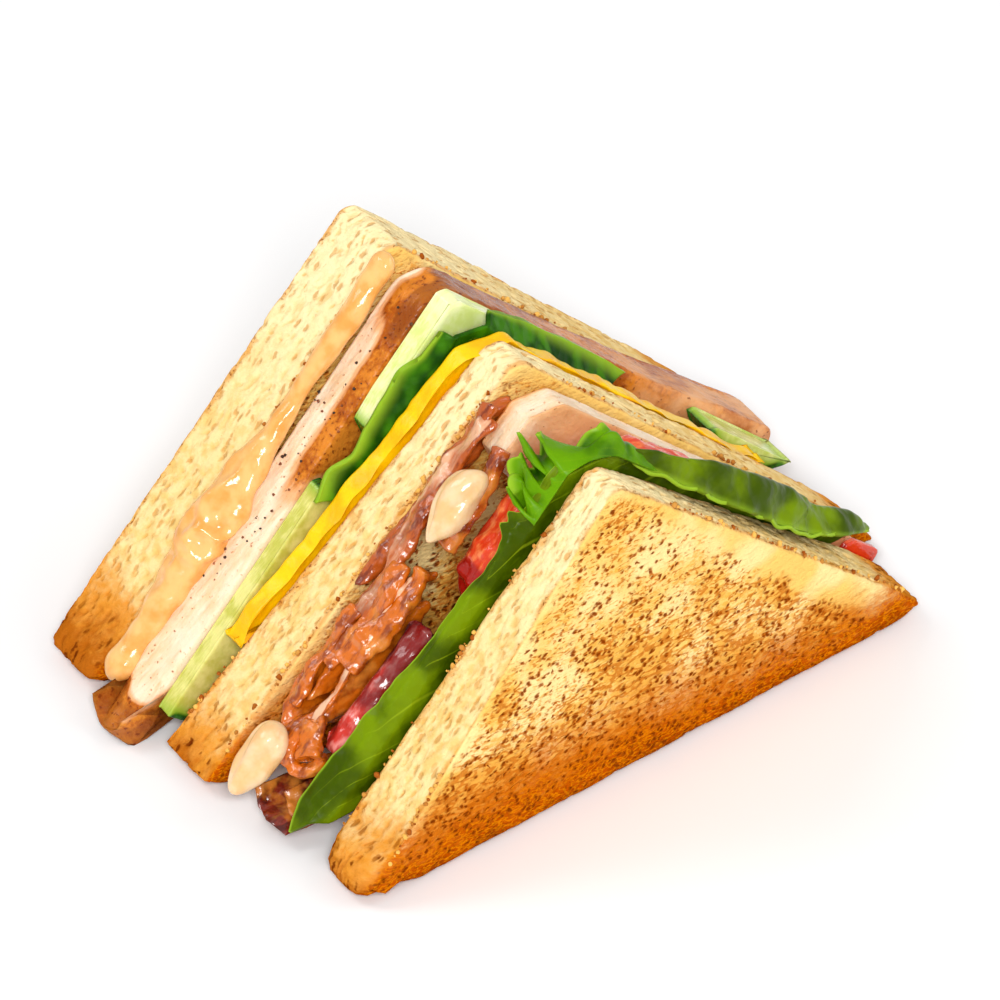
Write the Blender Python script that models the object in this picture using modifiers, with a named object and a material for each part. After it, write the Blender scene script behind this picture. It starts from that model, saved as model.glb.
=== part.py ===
"""One quarter of a club sandwich, standing on its crust with the right-angled point up.

Three slices of toast stand upright, one behind another along Y. Two layers of filling run
between them and show at the two knife cuts that meet at the top. X runs along the crust,
Y from the front toast to the back toast, Z up. All the shapes are worked out in
millimetres and written in metres.
"""

import math

import bmesh
import bpy
from mathutils import Vector

MM = 0.001
GAP = 0.35

# The point of the stack that becomes the origin, on the table under the middle of the box.
CENTRE_X = -2.3
CENTRE_Y = 31.3

# Where the three depths of a layer are named: under the left tip, under the right tip, at the point.
TIP_X = 56.0
POINT_X = -3.0
POINT_Z = 55.0

# The knife cuts, at the front, the middle and the back toast: the two feet of the cuts on the
# table and the point where they meet.
STACK_Y = (1.0, 31.0, 60.0)
FOOT_LEFT_X = (-49.7, -56.4, -56.6)
FOOT_RIGHT_X = (54.8, 57.4, 55.6)
PEAK_X = (-4.9, -1.4, -4.0)
PEAK_Z = (52.2, 53.0, 56.9)

# Depths of the layers in Y, each as (left tip, right tip, point).
TOAST_FRONT_FACE = (-5.2, 4.8, -0.4)
TOAST_FRONT_BACK = (7.2, 15.2, 6.3)
TOAST_MIDDLE_FACE = (27.4, 18.8, 28.6)
TOAST_MIDDLE_BACK = (38.6, 29.2, 35.4)
TOAST_BACK_FACE = (53.7, 49.2, 54.9)
TOAST_BACK_BACK = (66.3, 61.6, 66.9)
TURKEY_BACK_FACE = (42.3, 39.6, 46.4)
TURKEY_BACK_BACK = (49.8, 48.6, 53.6)
TURKEY_FRONT_FACE = (18.5, 16.9, 20.3)
TURKEY_FRONT_BACK = (24.5, 18.4, 25.5)
TOMATO_FACE = (12.6, 17.0, 9.0)
TOMATO_BACK = (18.2, 18.4, 16.8)
TOMATO_LOWER_FACE = (12.6, 13.0, 12.0)
LETTUCE_FRONT_MIDDLE = (8.2, 16.6, 7.4)

CRUST_CORNER = 9.0
CRUST_ROUND = 1.9
CUT_ROUND = 0.3
PEAK_WIDTH = 1.6

CHEESE_THICK = 2.2
CUCUMBER_TOP_THICK = 3.6
CUCUMBER_LEFT_THICK = 2.6
CUCUMBER_RIGHT_THICK = 6.0
LETTUCE_THICK = 1.1
LETTUCE_BACK_THICK = 0.88
BACON_THICK = 2.0
TOMATO_LOWER_THICK = 4.8
TOMATO_RIGHT_THICK = 1.2


def mix(start, end, share):
    """The value a share of the way from start to end."""
    return start + (end - start) * share


def along(values, y):
    """Reads a knife-cut value at depth y, in straight lines between the three toasts."""
    if y <= STACK_Y[1]:
        share = (y - STACK_Y[0]) / (STACK_Y[1] - STACK_Y[0])
        return mix(values[0], values[1], max(share, 0.0))
    share = (y - STACK_Y[1]) / (STACK_Y[2] - STACK_Y[1])
    return mix(values[1], values[2], min(share, 1.0))


def flat(depths):
    """The flat upright face whose depth is given at the left tip, the right tip and the point."""
    left, right, point = depths

    def depth(x, z):
        up = z / POINT_Z
        across = (x - POINT_X * up) / TIP_X
        return up * point + (1 - up) * mix(left, right, 0.5) + across * (right - left) / 2

    return depth


def shifted(face, offset):
    """The same face moved by offset in Y."""
    return lambda x, z: face(x, z) + offset


def cut_left(z, y):
    """X of the left knife cut at height z and depth y."""
    return mix(along(FOOT_LEFT_X, y), along(PEAK_X, y), z / along(PEAK_Z, y))


def cut_right(z, y):
    """X of the right knife cut at height z and depth y."""
    return mix(along(FOOT_RIGHT_X, y), along(PEAK_X, y), z / along(PEAK_Z, y))


def on_left_cut(share, y, proud=0.0):
    """A point on the left cut, share of the way up from the table, raised square to the cut."""
    z = along(PEAK_Z, y) * share
    return Vector((cut_left(z, y) - 0.70 * proud, y, z + 0.71 * proud))


def on_right_cut(share, y, proud=0.0):
    """A point on the right cut, share of the way up from the table, raised square to the cut."""
    z = along(PEAK_Z, y) * share
    return Vector((cut_right(z, y) + 0.68 * proud, y, z + 0.73 * proud))


def material(name, colour, roughness):
    """A plain Principled material."""
    made = bpy.data.materials.new(name)
    made.use_nodes = True
    shader = made.node_tree.nodes["Principled BSDF"]
    shader.inputs["Base Color"].default_value = (*colour, 1.0)
    shader.inputs["Roughness"].default_value = roughness
    shader.inputs["Metallic"].default_value = 0.0
    return made


def finish(cage, name, looks):
    """Turns a cage in stack millimetres into a named object in metres, with its faces out."""
    for corner in cage.verts:
        corner.co = (corner.co - Vector((CENTRE_X, CENTRE_Y, 0.0))) * MM
    if cage.calc_volume(signed=True) < 0.0:
        bmesh.ops.reverse_faces(cage, faces=cage.faces[:])
    mesh = bpy.data.meshes.new(name)
    cage.to_mesh(mesh)
    cage.free()
    made = bpy.data.objects.new(name, mesh)
    mesh.materials.append(looks)
    parts.objects.link(made)
    return made


def segmented_box(columns, layers, rows):
    """A box from (0, 0, 0) to (columns, layers, rows), cut into cells of one unit."""
    cage = bmesh.new()
    bmesh.ops.create_cube(cage, size=1.0)
    for corner in cage.verts:
        corner.co = Vector((
            (corner.co.x + 0.5) * columns,
            (corner.co.y + 0.5) * layers,
            (corner.co.z + 0.5) * rows,
        ))
    for axis, count in enumerate((columns, layers, rows)):
        normal = Vector([float(axis == other) for other in range(3)])
        for step in range(1, count):
            everything = cage.verts[:] + cage.edges[:] + cage.faces[:]
            bmesh.ops.bisect_plane(cage, geom=everything, plane_co=normal * step, plane_no=normal)
    return cage


def even_heights(low, high, count):
    """Heights in equal steps."""
    return [mix(low, high, step / count) for step in range(count + 1)]


def round_heights(low, high, count):
    """Heights that crowd together at both ends, as round outlines need."""
    return [mix(low, high, 0.5 - 0.5 * math.cos(math.pi * step / count)) for step in range(count + 1)]


def plate(name, looks, heights, left, right, front, back, columns, edges=(0.4, 0.4)):
    """A plate between two upright faces, outlined row by row by left(z) and right(z).

    The outermost rows of both faces are drawn in, by edges[0] at the foot and edges[1]
    at the cuts, so the rim is rounded.
    """
    rows = len(heights) - 1
    layer_share = (0.0, 0.2, 0.8, 1.0)
    cage = segmented_box(columns, 3, rows)
    for corner in cage.verts:
        column, layer, row = (round(value) for value in corner.co)
        z = heights[row]
        x = mix(left(z), right(z), column / columns)
        if layer in (0, 3):
            x += edges[1] * ((column == 0) - (column == columns))
            z += edges[0] * (row == 0) - edges[1] * (row == rows)
        corner.co = Vector((x, mix(front(x, z), back(x, z), layer_share[layer]), z))
    return finish(cage, name, looks)


def sheet(name, looks, surface, across, up, thick):
    """A thin sheet: surface(u, v) in stack millimetres, given its thickness by Solidify."""
    cage = bmesh.new()
    bmesh.ops.create_grid(cage, x_segments=across, y_segments=up, size=0.5)
    for corner in cage.verts:
        corner.co = surface(corner.co.x + 0.5, corner.co.y + 0.5)
    made = finish(cage, name, looks)
    wall = made.modifiers.new("thickness", "SOLIDIFY")
    wall.thickness = thick * MM
    wall.offset = 0.0
    return made


def toast(name, looks, depth, face, back):
    """A quarter of a slice: crust along the table with the loaf's rounded corners at both tips."""
    low_left = along(FOOT_LEFT_X, depth)
    low_right = along(FOOT_RIGHT_X, depth)
    peak_x = along(PEAK_X, depth)
    peak_z = along(PEAK_Z, depth)
    tip_z = CRUST_CORNER * (1 - math.sqrt(0.5))

    def corner_bite(z):
        """How far the loaf's rounded corner draws the tip in at height z."""
        rise = CRUST_CORNER - min(z, tip_z)
        return CRUST_CORNER - math.sqrt(CRUST_CORNER**2 - rise**2)

    def left(z):
        cut = mix(low_left, peak_x, z / peak_z) - PEAK_WIDTH / 2 * z / peak_z
        return max(low_left + corner_bite(z), cut) if z < tip_z else cut

    def right(z):
        cut = mix(low_right, peak_x, z / peak_z) + PEAK_WIDTH / 2 * z / peak_z
        return min(low_right - corner_bite(z), cut) if z < tip_z else cut

    arc = [tip_z * (step / 3) ** 2 for step in range(3)]
    heights = arc + even_heights(tip_z, peak_z - 0.5, 7)
    return plate(name, looks, heights, left, right, face, back, 12, (CRUST_ROUND, CUT_ROUND))


def round_slice(name, looks, centre, radius, face, back, proud, ceiling=POINT_Z):
    """A round slice between face and back, cut off by the two knife cuts, a little proud of them.

    It ends at the ceiling, where there is one.
    """
    centre_x, centre_z = centre
    depth = face(centre_x, centre_z)

    def half_width(z):
        return math.sqrt(max(radius**2 - (z - centre_z) ** 2, 0.01))

    def left(z):
        return max(centre_x - half_width(z), cut_left(z, depth) - proud)

    def right(z):
        return min(centre_x + half_width(z), cut_right(z, depth) + proud)

    highest = min(centre_z + radius, along(PEAK_Z, depth) + 0.6 * proud, ceiling)
    while right(highest) - left(highest) < PEAK_WIDTH:
        highest -= 0.1
    heights = round_heights(centre_z - radius, highest, 12)
    return plate(name, looks, heights, left, right, face, back, 3, (0.3, 0.3))


def scene_cleared():
    """Empties the scene and gives the collection the parts go in."""
    for old in list(bpy.data.objects):
        bpy.data.objects.remove(old, do_unlink=True)
    made = bpy.data.collections.new("club_sandwich_quarter")
    bpy.context.scene.collection.children.link(made)
    return made


parts = scene_cleared()

toasted = material("toasted_bread", (0.86, 0.62, 0.30), 0.85)
turkey_looks = material("roast_turkey", (0.90, 0.68, 0.56), 0.45)
cheese_looks = material("melted_cheddar", (0.95, 0.62, 0.05), 0.4)
cucumber_looks = material("cucumber", (0.62, 0.76, 0.30), 0.3)
lettuce_looks = material("lettuce", (0.10, 0.32, 0.03), 0.4)
bacon_looks = material("crisp_bacon", (0.42, 0.13, 0.04), 0.35)
tomato_looks = material("tomato", (0.75, 0.08, 0.03), 0.25)
sauce_looks = material("cocktail_sauce", (0.90, 0.60, 0.34), 0.25)


def make_toasts():
    """The three slices, thinner towards the point where the sandwich was pressed."""
    toast("toast_front", toasted, STACK_Y[0], flat(TOAST_FRONT_FACE), flat(TOAST_FRONT_BACK))
    toast("toast_middle", toasted, STACK_Y[1], flat(TOAST_MIDDLE_FACE), flat(TOAST_MIDDLE_BACK))
    toast("toast_back", toasted, STACK_Y[2], flat(TOAST_BACK_FACE), flat(TOAST_BACK_BACK))


def make_turkeys():
    """Two slices of roast turkey. The back one hangs out at both tips."""
    back_depth = 47.0
    back_proud = 0.6
    left_tip, left_tip_height = 3.6, 8.0
    right_proud, right_tip, right_tip_height = 1.2, 4.0, 24.0
    blunt_end_x, undercut = 46.5, 0.62

    def back_left(z):
        return cut_left(z, back_depth) - back_proud - left_tip * math.exp(-z / left_tip_height)

    def back_right(z):
        hanging = right_proud + right_tip * math.exp(-((z / right_tip_height) ** 2))
        return min(cut_right(z, back_depth) + hanging, blunt_end_x + undercut * z)

    heights = [1.2, 2.2, 4.5] + even_heights(9.0, 53.4, 7)
    plate("turkey_back", turkey_looks, heights, back_left, back_right,
          flat(TURKEY_BACK_FACE), flat(TURKEY_BACK_BACK), 10, (1.0, 0.8))

    front_depth = 23.0
    front_left_proud, front_right_proud = 0.6, 0.7
    shoulder_z, shoulder_run, shoulder_drop = 43.0, 14.0, 8.0
    foot_inset, foot_height = 6.0, 5.0

    def front_left(z):
        below = max(shoulder_z - z, 0.0)
        shoulder = cut_left(shoulder_z, front_depth) + shoulder_run * (1 - math.exp(-below / shoulder_drop))
        return max(cut_left(z, front_depth), shoulder) - front_left_proud

    def front_right(z):
        return cut_right(z, front_depth) + front_right_proud - foot_inset * math.exp(-z / foot_height)

    plate("turkey_front", turkey_looks, even_heights(3.0, 50.6, 9), front_left, front_right,
          flat(TURKEY_FRONT_FACE), flat(TURKEY_FRONT_BACK), 8, (0.5, 0.5))


def make_cheese():
    """A cheddar slice, smaller than the toast, whose edge has melted over the cuts."""
    depth = 37.0
    left_proud, left_melt = 0.9, 0.4
    right_proud, right_melt = 0.5, 0.3
    front = shifted(flat(TOAST_MIDDLE_BACK), GAP)

    def left(z):
        return cut_left(z, depth) - left_proud - left_melt * math.sin(z * 0.42)

    def right(z):
        return cut_right(z, depth) + right_proud + right_melt * math.sin(z * 0.5)

    plate("cheese", cheese_looks, even_heights(15.0, 51.2, 9), left, right,
          front, shifted(front, CHEESE_THICK), 7, (0.5, 0.5))


def make_cucumbers():
    """Three round slices laid on the back turkey, all cut by the knife."""
    back = shifted(flat(TURKEY_BACK_FACE), -GAP)
    slices = (
        ("cucumber_top", (1.5, 44.0), 19.8, CUCUMBER_TOP_THICK, 1.0),
        ("cucumber_left", (-39.5, 20.6), 20.0, CUCUMBER_LEFT_THICK, 0.5),
        ("cucumber_right", (47.8, 20.0), 12.2, CUCUMBER_RIGHT_THICK, 1.2),
    )
    for name, centre, radius, thick, proud in slices:
        round_slice(name, cucumber_looks, centre, radius, shifted(back, -thick), back, proud)


def make_lettuce_back():
    """A crinkled leaf between the cheese and the top cucumber slice, its edge just showing."""
    room = 0.2
    face = shifted(flat(TOAST_MIDDLE_BACK), 2 * GAP + CHEESE_THICK + LETTUCE_THICK / 2 + room)
    low, high = 30.5, 52.0
    proud_left, proud_right = 1.3, 1.0
    crinkle = 0.32

    def surface(u, v):
        z = mix(low, high, v)
        depth = face(0.0, z)
        x = mix(cut_left(z, depth) - proud_left, cut_right(z, depth) + proud_right, u)
        ripple = crinkle * math.sin(9.0 * u + 3.0 * v) * math.sin(7.0 * v + 2.0 * u)
        return Vector((x, face(x, z) + ripple, z))

    sheet("lettuce_back", lettuce_looks, surface, 12, 8, LETTUCE_BACK_THICK)


def through(points, share):
    """A smooth curve through the points, by the Catmull-Rom rule, at a share of its length."""
    last = len(points) - 1
    place = min(share * last, last - 1e-6)
    index = int(place)
    t = place - index
    before, here, after, beyond = (
        Vector(points[min(max(index + step, 0), last)]) for step in (-1, 0, 1, 2)
    )
    return 0.5 * (2 * here + (after - before) * t
                  + (2 * before - 5 * here + 4 * after - beyond) * t**2
                  + (3 * here - before - 3 * after + beyond) * t**3)


def make_bacon():
    """Crisp streaky strips folded between the middle toast and the tomato.

    Each is a curve on the left cut, as (share up the cut, depth, how far it runs inwards).
    """
    strips = (
        ("bacon_upper", ((0.92, 27.0, 4.0), (0.84, 26.8, 7.0), (0.76, 26.4, 6.5),
                         (0.68, 24.6, 4.0), (0.62, 21.6, 4.0))),
        ("bacon_lower", ((0.53, 20.4, 9.0), (0.48, 23.8, 9.0), (0.37, 25.2, 9.0),
                         (0.26, 24.9, 12.0), (0.205, 22.4, 12.0), (0.26, 19.8, 12.0),
                         (0.37, 19.4, 12.0), (0.425, 21.2, 12.0), (0.37, 22.3, 12.0),
                         (0.28, 22.4, 12.0))),
        ("bacon_end", ((0.10, 21.0, 14.0), (0.055, 19.4, 14.0), (0.045, 15.4, 14.0),
                       (0.05, 12.6, 14.0))),
    )
    toast_slant, slant_depth = 0.08, 7.0
    tomato_depth = 20.0
    proud, crimp = 0.6, 0.3
    for name, route in strips:

        def surface(u, v, route=route):
            height, depth, run = through(route, v)
            back_off = toast_slant * run * u * max(depth - tomato_depth, 0.0) / slant_depth
            ripple = crimp * math.sin(u * 7.0 + v * 4.0)
            return on_left_cut(height, depth, proud) + Vector((run * u, -back_off, ripple))

        sheet(name, bacon_looks, surface, 4, 3 * (len(route) - 1), BACON_THICK)


def make_tomatoes():
    """Tomato slices between the bacon and the front lettuce."""
    round_slice("tomato_upper", tomato_looks, (-1.0, 31.5), 19.0, flat(TOMATO_FACE), flat(TOMATO_BACK),
                -0.3, ceiling=46.0)
    lower = flat(TOMATO_LOWER_FACE)
    round_slice("tomato_lower", tomato_looks, (-36.0, 22.5), 12.0, lower,
                shifted(lower, TOMATO_LOWER_THICK), 0.8)
    toast_side = shifted(flat(TOAST_FRONT_BACK), GAP)
    round_slice("tomato_right", tomato_looks, (46.6, 6.0), 4.4, toast_side,
                shifted(toast_side, TOMATO_RIGHT_THICK), 1.0)


def make_sauce_ribbon():
    """The thick ribbon squeezed out between the back turkey and the back toast, fattest low down."""
    rows = 16
    low_share, high_share = 0.05, 0.97
    fat_share, fat_spread = 0.38, 0.13
    root, root_fill = -2.6, 0.8
    foot = 0.5
    lean = 0.7
    profile = ((root, root_fill), (foot, root_fill), (0.7, 1.0), (2.0, 0.9), (2.9, 0.5))
    turkey = flat(TURKEY_BACK_BACK)
    bread = flat(TOAST_BACK_FACE)
    cage = segmented_box(4, len(profile) - 1, rows)
    for corner in cage.verts:
        column, level, row = (round(value) for value in corner.co)
        share = mix(low_share, high_share, row / rows)
        swell = math.exp(-((share - fat_share) / fat_spread) ** 2)
        wide = 3.6 + 3.4 * swell + 0.6 * math.sin(row * 1.9)
        tall = 1.0 + 0.5 * swell + 0.12 * math.sin(row * 2.3)
        lift, width_share = profile[level]
        edge = on_left_cut(share, STACK_Y[2])
        crack_front = turkey(edge.x, edge.z) + GAP
        crack_back = bread(edge.x, edge.z) - GAP
        middle = mix(crack_front, crack_back, 0.5)
        in_the_crack = level < 2
        if in_the_crack:
            half = (crack_back - crack_front) / 2 * width_share
            proud = lift
        else:
            half = wide / 2 * width_share
            middle += lean
            proud = foot + lift * tall * (1.0 if 0 < row < rows else 0.55)
        taper = 1.0 if 0 < row < rows else 0.55
        corner.co = on_left_cut(share, STACK_Y[2], proud)
        corner.co.y = middle + half * taper * (column / 2 - 1)
    finish(cage, "sauce_back", sauce_looks)


def make_sauce_drops():
    """Two drops of the same sauce squeezed out of the front filling, each fatter at its top."""
    proud, half_deep, swell = 4.2, 3.9, 0.28
    drops = (
        ("sauce_drop_upper", 0.735, 21.6, 6.8, 2.7),
        ("sauce_drop_lower", 0.125, 24.0, 6.2, 3.1),
    )
    for name, share, depth, half_long, half_tall in drops:
        drop = bmesh.new()
        bmesh.ops.create_uvsphere(drop, u_segments=14, v_segments=8, radius=1.0)
        centre = on_left_cut(share, depth, proud)
        slope = (on_left_cut(share + 0.1, depth) - on_left_cut(share, depth)).normalized()
        square = Vector((-slope.z, 0.0, slope.x))
        for corner in drop.verts:
            length, deep, tall = corner.co.z, corner.co.x, corner.co.y
            fat = 1.0 + swell * length
            corner.co = (centre + slope * (length * half_long) + square * (tall * half_tall * fat)
                         + Vector((0.0, deep * half_deep * fat, 0.0)))
        finish(drop, name, sauce_looks)


def make_lettuce_front():
    """The leaf behind the front toast. Its left edge curls back over the filling, and its
    right side stands up out of the cut and falls forward over the toast's edge."""
    face = flat(LETTUCE_FRONT_MIDDLE)
    front = flat(TOAST_FRONT_FACE)
    depth = 8.0
    low, high, low_rise = 0.06, 0.93, 0.16
    left_share, right_share = 0.16, 0.62
    curl_high, curl_low, curl_lift = 1.2, 6.4, 2.1
    hood_foot, hood_span, hood_rise, hood_lift = 0.10, 0.84, 1.2, 4.2
    hood_room = 0.4

    def curled(share, z, out):
        """The left edge, out from 0 at the cut to 1 at the leaf's rim."""
        curl = (curl_high + curl_low * (1 - share) ** 1.4) * out
        lift = curl_lift * math.sin(min(out * 2.2, 1.0) * math.pi / 2)
        foot = on_left_cut(share, face(cut_left(z, depth), z))
        return foot + Vector((-0.70 * lift, curl, 0.71 * lift))

    def hooded(share, z, out):
        """The right side, out from 0 at the cut to 1 at the leaf's rim."""
        x = cut_right(z, depth)
        place = min(max((share - hood_foot) / hood_span, 0.0), 1.0)
        hood = math.sin(math.pi * place**1.3) ** 0.6
        lift = hood_rise + hood_lift * hood * math.sin(math.pi * min(out * 1.05, 1.0)) ** 0.8
        reach = face(x, z) - front(x, z) - hood_room
        return on_right_cut(share, face(x, z) - reach * out * hood, lift * min(out * 6, 1.0))

    def surface(u, v):
        share = mix(low + low_rise * min(u / right_share, 1.0), high, v)
        z = along(PEAK_Z, depth) * share
        if u < left_share:
            return curled(share, z, 1 - u / left_share)
        if u > right_share:
            return hooded(share, z, (u - right_share) / (1 - right_share))
        inner = (u - left_share) / (right_share - left_share)
        x = mix(cut_left(z, depth), cut_right(z, depth), inner)
        return Vector((x, face(x, z), z))

    sheet("lettuce_front", lettuce_looks, surface, 20, 10, LETTUCE_THICK)


def make_lettuce_ruffle():
    """The frilled end of the leaf, draped over the point of the front filling."""
    near, reach, middle_reach, frill = 10.6, 6.0, 3.0, 0.8
    lift, frill_lift = 1.3, 0.6
    left_share, top_share, right_share = 0.82, 0.985, 0.76

    def surface(u, v):
        wave = math.sin(u * 16.0 + v)
        depth = near + (reach + middle_reach * math.sin(math.pi * u) + frill * wave) * v
        proud = lift + frill_lift * wave * v
        if u < 0.5:
            return on_left_cut(mix(left_share, top_share, u / 0.5), depth, proud)
        return on_right_cut(mix(top_share, right_share, u / 0.5 - 1.0), depth, proud)

    sheet("lettuce_ruffle", lettuce_looks, surface, 15, 4, LETTUCE_THICK)


make_toasts()
make_turkeys()
make_cheese()
make_cucumbers()
make_lettuce_back()
make_bacon()
make_tomatoes()
make_sauce_ribbon()
make_sauce_drops()
make_lettuce_front()
make_lettuce_ruffle()
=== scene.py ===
# %% [markdown]
# # A club sandwich quarter, dressed for the table
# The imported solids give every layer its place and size. This notebook wraps each of them in a
# finer surface: open crumb at the knife cuts, a speckled toasted face, a frilled leaf, folded
# bacon and glossy sauce. All lengths below are millimetres until the moment a mesh is written.

# %% Load the solids
import math

import bpy
from mathutils import Matrix, Vector
import numpy as np


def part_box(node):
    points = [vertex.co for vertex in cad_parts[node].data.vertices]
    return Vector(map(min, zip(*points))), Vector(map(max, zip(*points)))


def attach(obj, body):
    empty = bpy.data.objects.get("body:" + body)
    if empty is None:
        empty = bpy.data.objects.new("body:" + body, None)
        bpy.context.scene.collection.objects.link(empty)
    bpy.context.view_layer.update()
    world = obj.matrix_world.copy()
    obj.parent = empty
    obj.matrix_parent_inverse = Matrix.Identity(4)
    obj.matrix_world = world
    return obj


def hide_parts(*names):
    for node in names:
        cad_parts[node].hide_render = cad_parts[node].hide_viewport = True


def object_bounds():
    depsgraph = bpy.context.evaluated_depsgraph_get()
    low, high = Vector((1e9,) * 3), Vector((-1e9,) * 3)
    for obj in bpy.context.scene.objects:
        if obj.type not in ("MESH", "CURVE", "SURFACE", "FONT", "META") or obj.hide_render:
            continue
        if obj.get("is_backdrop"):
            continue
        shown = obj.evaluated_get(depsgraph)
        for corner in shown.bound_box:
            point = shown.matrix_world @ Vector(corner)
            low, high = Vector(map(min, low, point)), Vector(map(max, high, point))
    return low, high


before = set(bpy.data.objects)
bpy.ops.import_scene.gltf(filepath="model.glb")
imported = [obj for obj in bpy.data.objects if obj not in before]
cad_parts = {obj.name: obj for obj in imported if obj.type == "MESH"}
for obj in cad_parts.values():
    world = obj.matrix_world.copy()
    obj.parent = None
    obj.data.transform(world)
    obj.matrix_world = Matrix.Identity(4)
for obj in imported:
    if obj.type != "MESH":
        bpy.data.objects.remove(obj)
cad_low, cad_high = (list(corner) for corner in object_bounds())
MM = 0.001
TIGHT = 1.0
HAIR = 0.02  # how far every piece keeps inside the box of the solids, and off the table
print("solids:", len(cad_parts), "box in mm:", [round(v / MM, 1) for v in cad_low + cad_high])

# %% [markdown]
# ## Reading a slice off its solid
# Every slice is a flat plate: two faces and a rim. The faces are planes, so a least-squares fit
# through their triangles gives depth as a sum of x and z. The rim is read level by level, as the
# leftmost and rightmost corner at each height, and walked round at even steps.


# %% Planes and outlines
FORWARD, PARALLEL, SAME_LEVEL = 0.95, 0.9995, 0.5  # what counts as one flat face
RIM_MARGIN = 0.12  # the share of a slice's thickness, at either face, that is not its rim


def box_of(node):
    """The low and high corner of a solid's box, in millimetres."""
    return (np.array(corner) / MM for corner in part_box(node))


def xyz(x, y, z):
    """Points from their coordinates, which may be numbers or arrays."""
    return np.stack(np.broadcast_arrays(x, y, z), -1)


def even(count):
    """How many rows or columns a surface has: fewer in a quick export."""
    return int(count * TIGHT)


def corners_of(node):
    """The corners of a solid, in millimetres, one row each."""
    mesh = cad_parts[node].data
    flat = np.empty(len(mesh.vertices) * 3)
    mesh.vertices.foreach_get("co", flat)
    return flat.reshape(-1, 3) / MM


def face_plane(node, side):
    """k0, k1, k2 of the face that looks forward (-1) or back (+1): y = k0 + k1 x + k2 z."""
    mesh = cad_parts[node].data
    count = len(mesh.polygons)
    normals, middles = np.empty(count * 3), np.empty(count * 3)
    areas = np.empty(count)
    mesh.polygons.foreach_get("normal", normals)
    mesh.polygons.foreach_get("center", middles)
    mesh.polygons.foreach_get("area", areas)
    normals, middles = normals.reshape(-1, 3), middles.reshape(-1, 3) / MM
    widest = np.argmax(areas * (normals[:, 1] * side > FORWARD))
    gap = (middles - middles[widest]) @ normals[widest]
    chosen = (normals @ normals[widest] > PARALLEL) & (np.abs(gap) < SAME_LEVEL)
    weight = np.sqrt(areas[chosen])[:, None]
    x, y, z = middles[chosen].T
    table = np.stack([np.ones_like(x), x, z], axis=1)
    return np.linalg.lstsq(table * weight, y[:, None] * weight, rcond=None)[0][:, 0]


def depth(plane, x, z):
    """Depth of a face plane at x and z."""
    return plane[0] + plane[1] * x + plane[2] * z


def rim_levels(node):
    """Heights, leftmost x and rightmost x of a slice, from the corners on the middle of its rim.

    Along a straight edge a solid keeps no corners between the ends, so a level may have only
    one side's corner, and the other side is read off the line between its neighbours.
    """
    corners = corners_of(node)
    x, y, z = corners.T
    front, back = (depth(face_plane(node, side), x, z) for side in (-1, 1))
    share = (y - front) / (back - front)
    on_rim = (share > RIM_MARGIN) & (share < 1 - RIM_MARGIN)
    level, x = np.round(z[on_rim], 2), x[on_rim]
    heights = np.unique(level)
    left, right = (np.array([pick(x[level == h]) for h in heights]) for pick in (np.min, np.max))
    both = right - left > 0.05
    middle = np.interp(heights, heights[both], (left + right)[both] / 2)
    has_left, has_right = both | (left < middle), both | (right > middle)
    return (heights, np.interp(heights, heights[has_left], left[has_left]),
            np.interp(heights, heights[has_right], right[has_right]))


def walk_round(points, step):
    """Points at even steps along a closed line."""
    closed = np.vstack([points, points[:1]])
    gaps = np.hypot(*np.diff(closed, axis=0).T)
    reached = np.concatenate([[0.0], np.cumsum(gaps)])
    count = int(reached[-1] / step)
    wanted = np.arange(count) * reached[-1] / count
    return np.stack([np.interp(wanted, reached, closed[:, axis]) for axis in (0, 1)], axis=1)


def soften(line, step, reach):
    """A closed line averaged with its neighbours, with a bell-shaped weight reach wide."""
    spread = int(3 * reach / step) + 1
    offsets = np.arange(-spread, spread + 1)
    weights = np.exp(-0.5 * (offsets * step / reach) ** 2)
    weights /= weights.sum()
    return sum(w * np.roll(line, -o, axis=0) for w, o in zip(weights, offsets))


def outline(node, step, reach, trim=0.0):
    """Outline of a slice as (x, z), clockwise from the lower left, and its outward normals.

    trim cuts its right tip short by that much, before the line is softened.
    """
    heights, left, right = rim_levels(node)
    right = np.minimum(right, right.max() - trim)
    up = np.stack([left, heights], axis=1)
    down = np.stack([right, heights], axis=1)[::-1]
    line = soften(walk_round(np.vstack([up, down]), step), step, reach)
    along = np.roll(line, -1, axis=0) - np.roll(line, 1, axis=0)
    along /= np.linalg.norm(along, axis=1)[:, None]
    return line, np.stack([-along[:, 1], along[:, 0]], axis=1)


TOASTS = ("toast_front", "toast_middle", "toast_back")
for name in TOASTS:
    heights, left, right = rim_levels(name)
    print(name, "crust", round(right[0] - left[0], 1), "mm long, point", round(heights[-1], 1), "mm up")

# %% [markdown]
# ## The two knife cuts
# The knife went through all the layers at once, so the cuts are two planes leaning together.
# Each toast keeps its own straight cut line, and the filling between two toasts follows a line
# part of the way from one to the next.


# %% Cut lines
CRUST_BEND, POINT_BEND = 6.0, 2.0  # how much of a cut is rounded off at its foot and at its point


def cut_line(node, side):
    """Foot and slope of a toast's cut on side 0 (left) or 1 (right): x = foot + slope z."""
    heights, *edges = rim_levels(node)
    straight = (heights > CRUST_BEND) & (heights < heights[-1] - POINT_BEND)
    slope, foot = np.polyfit(heights[straight], edges[side][straight], 1)
    return foot, slope


STACK_DEPTH = [corners_of(name)[:, 1].mean() for name in TOASTS]
STACK_TOP = [corners_of(name)[:, 2].max() for name in TOASTS]
CUTS = [[cut_line(name, side) for name in TOASTS] for side in (0, 1)]


def cut_at(side, y):
    """Foot and slope of the cut on one side, at each depth y."""
    return (np.interp(y, STACK_DEPTH, [line[part] for line in CUTS[side]]) for part in (0, 1))


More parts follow.
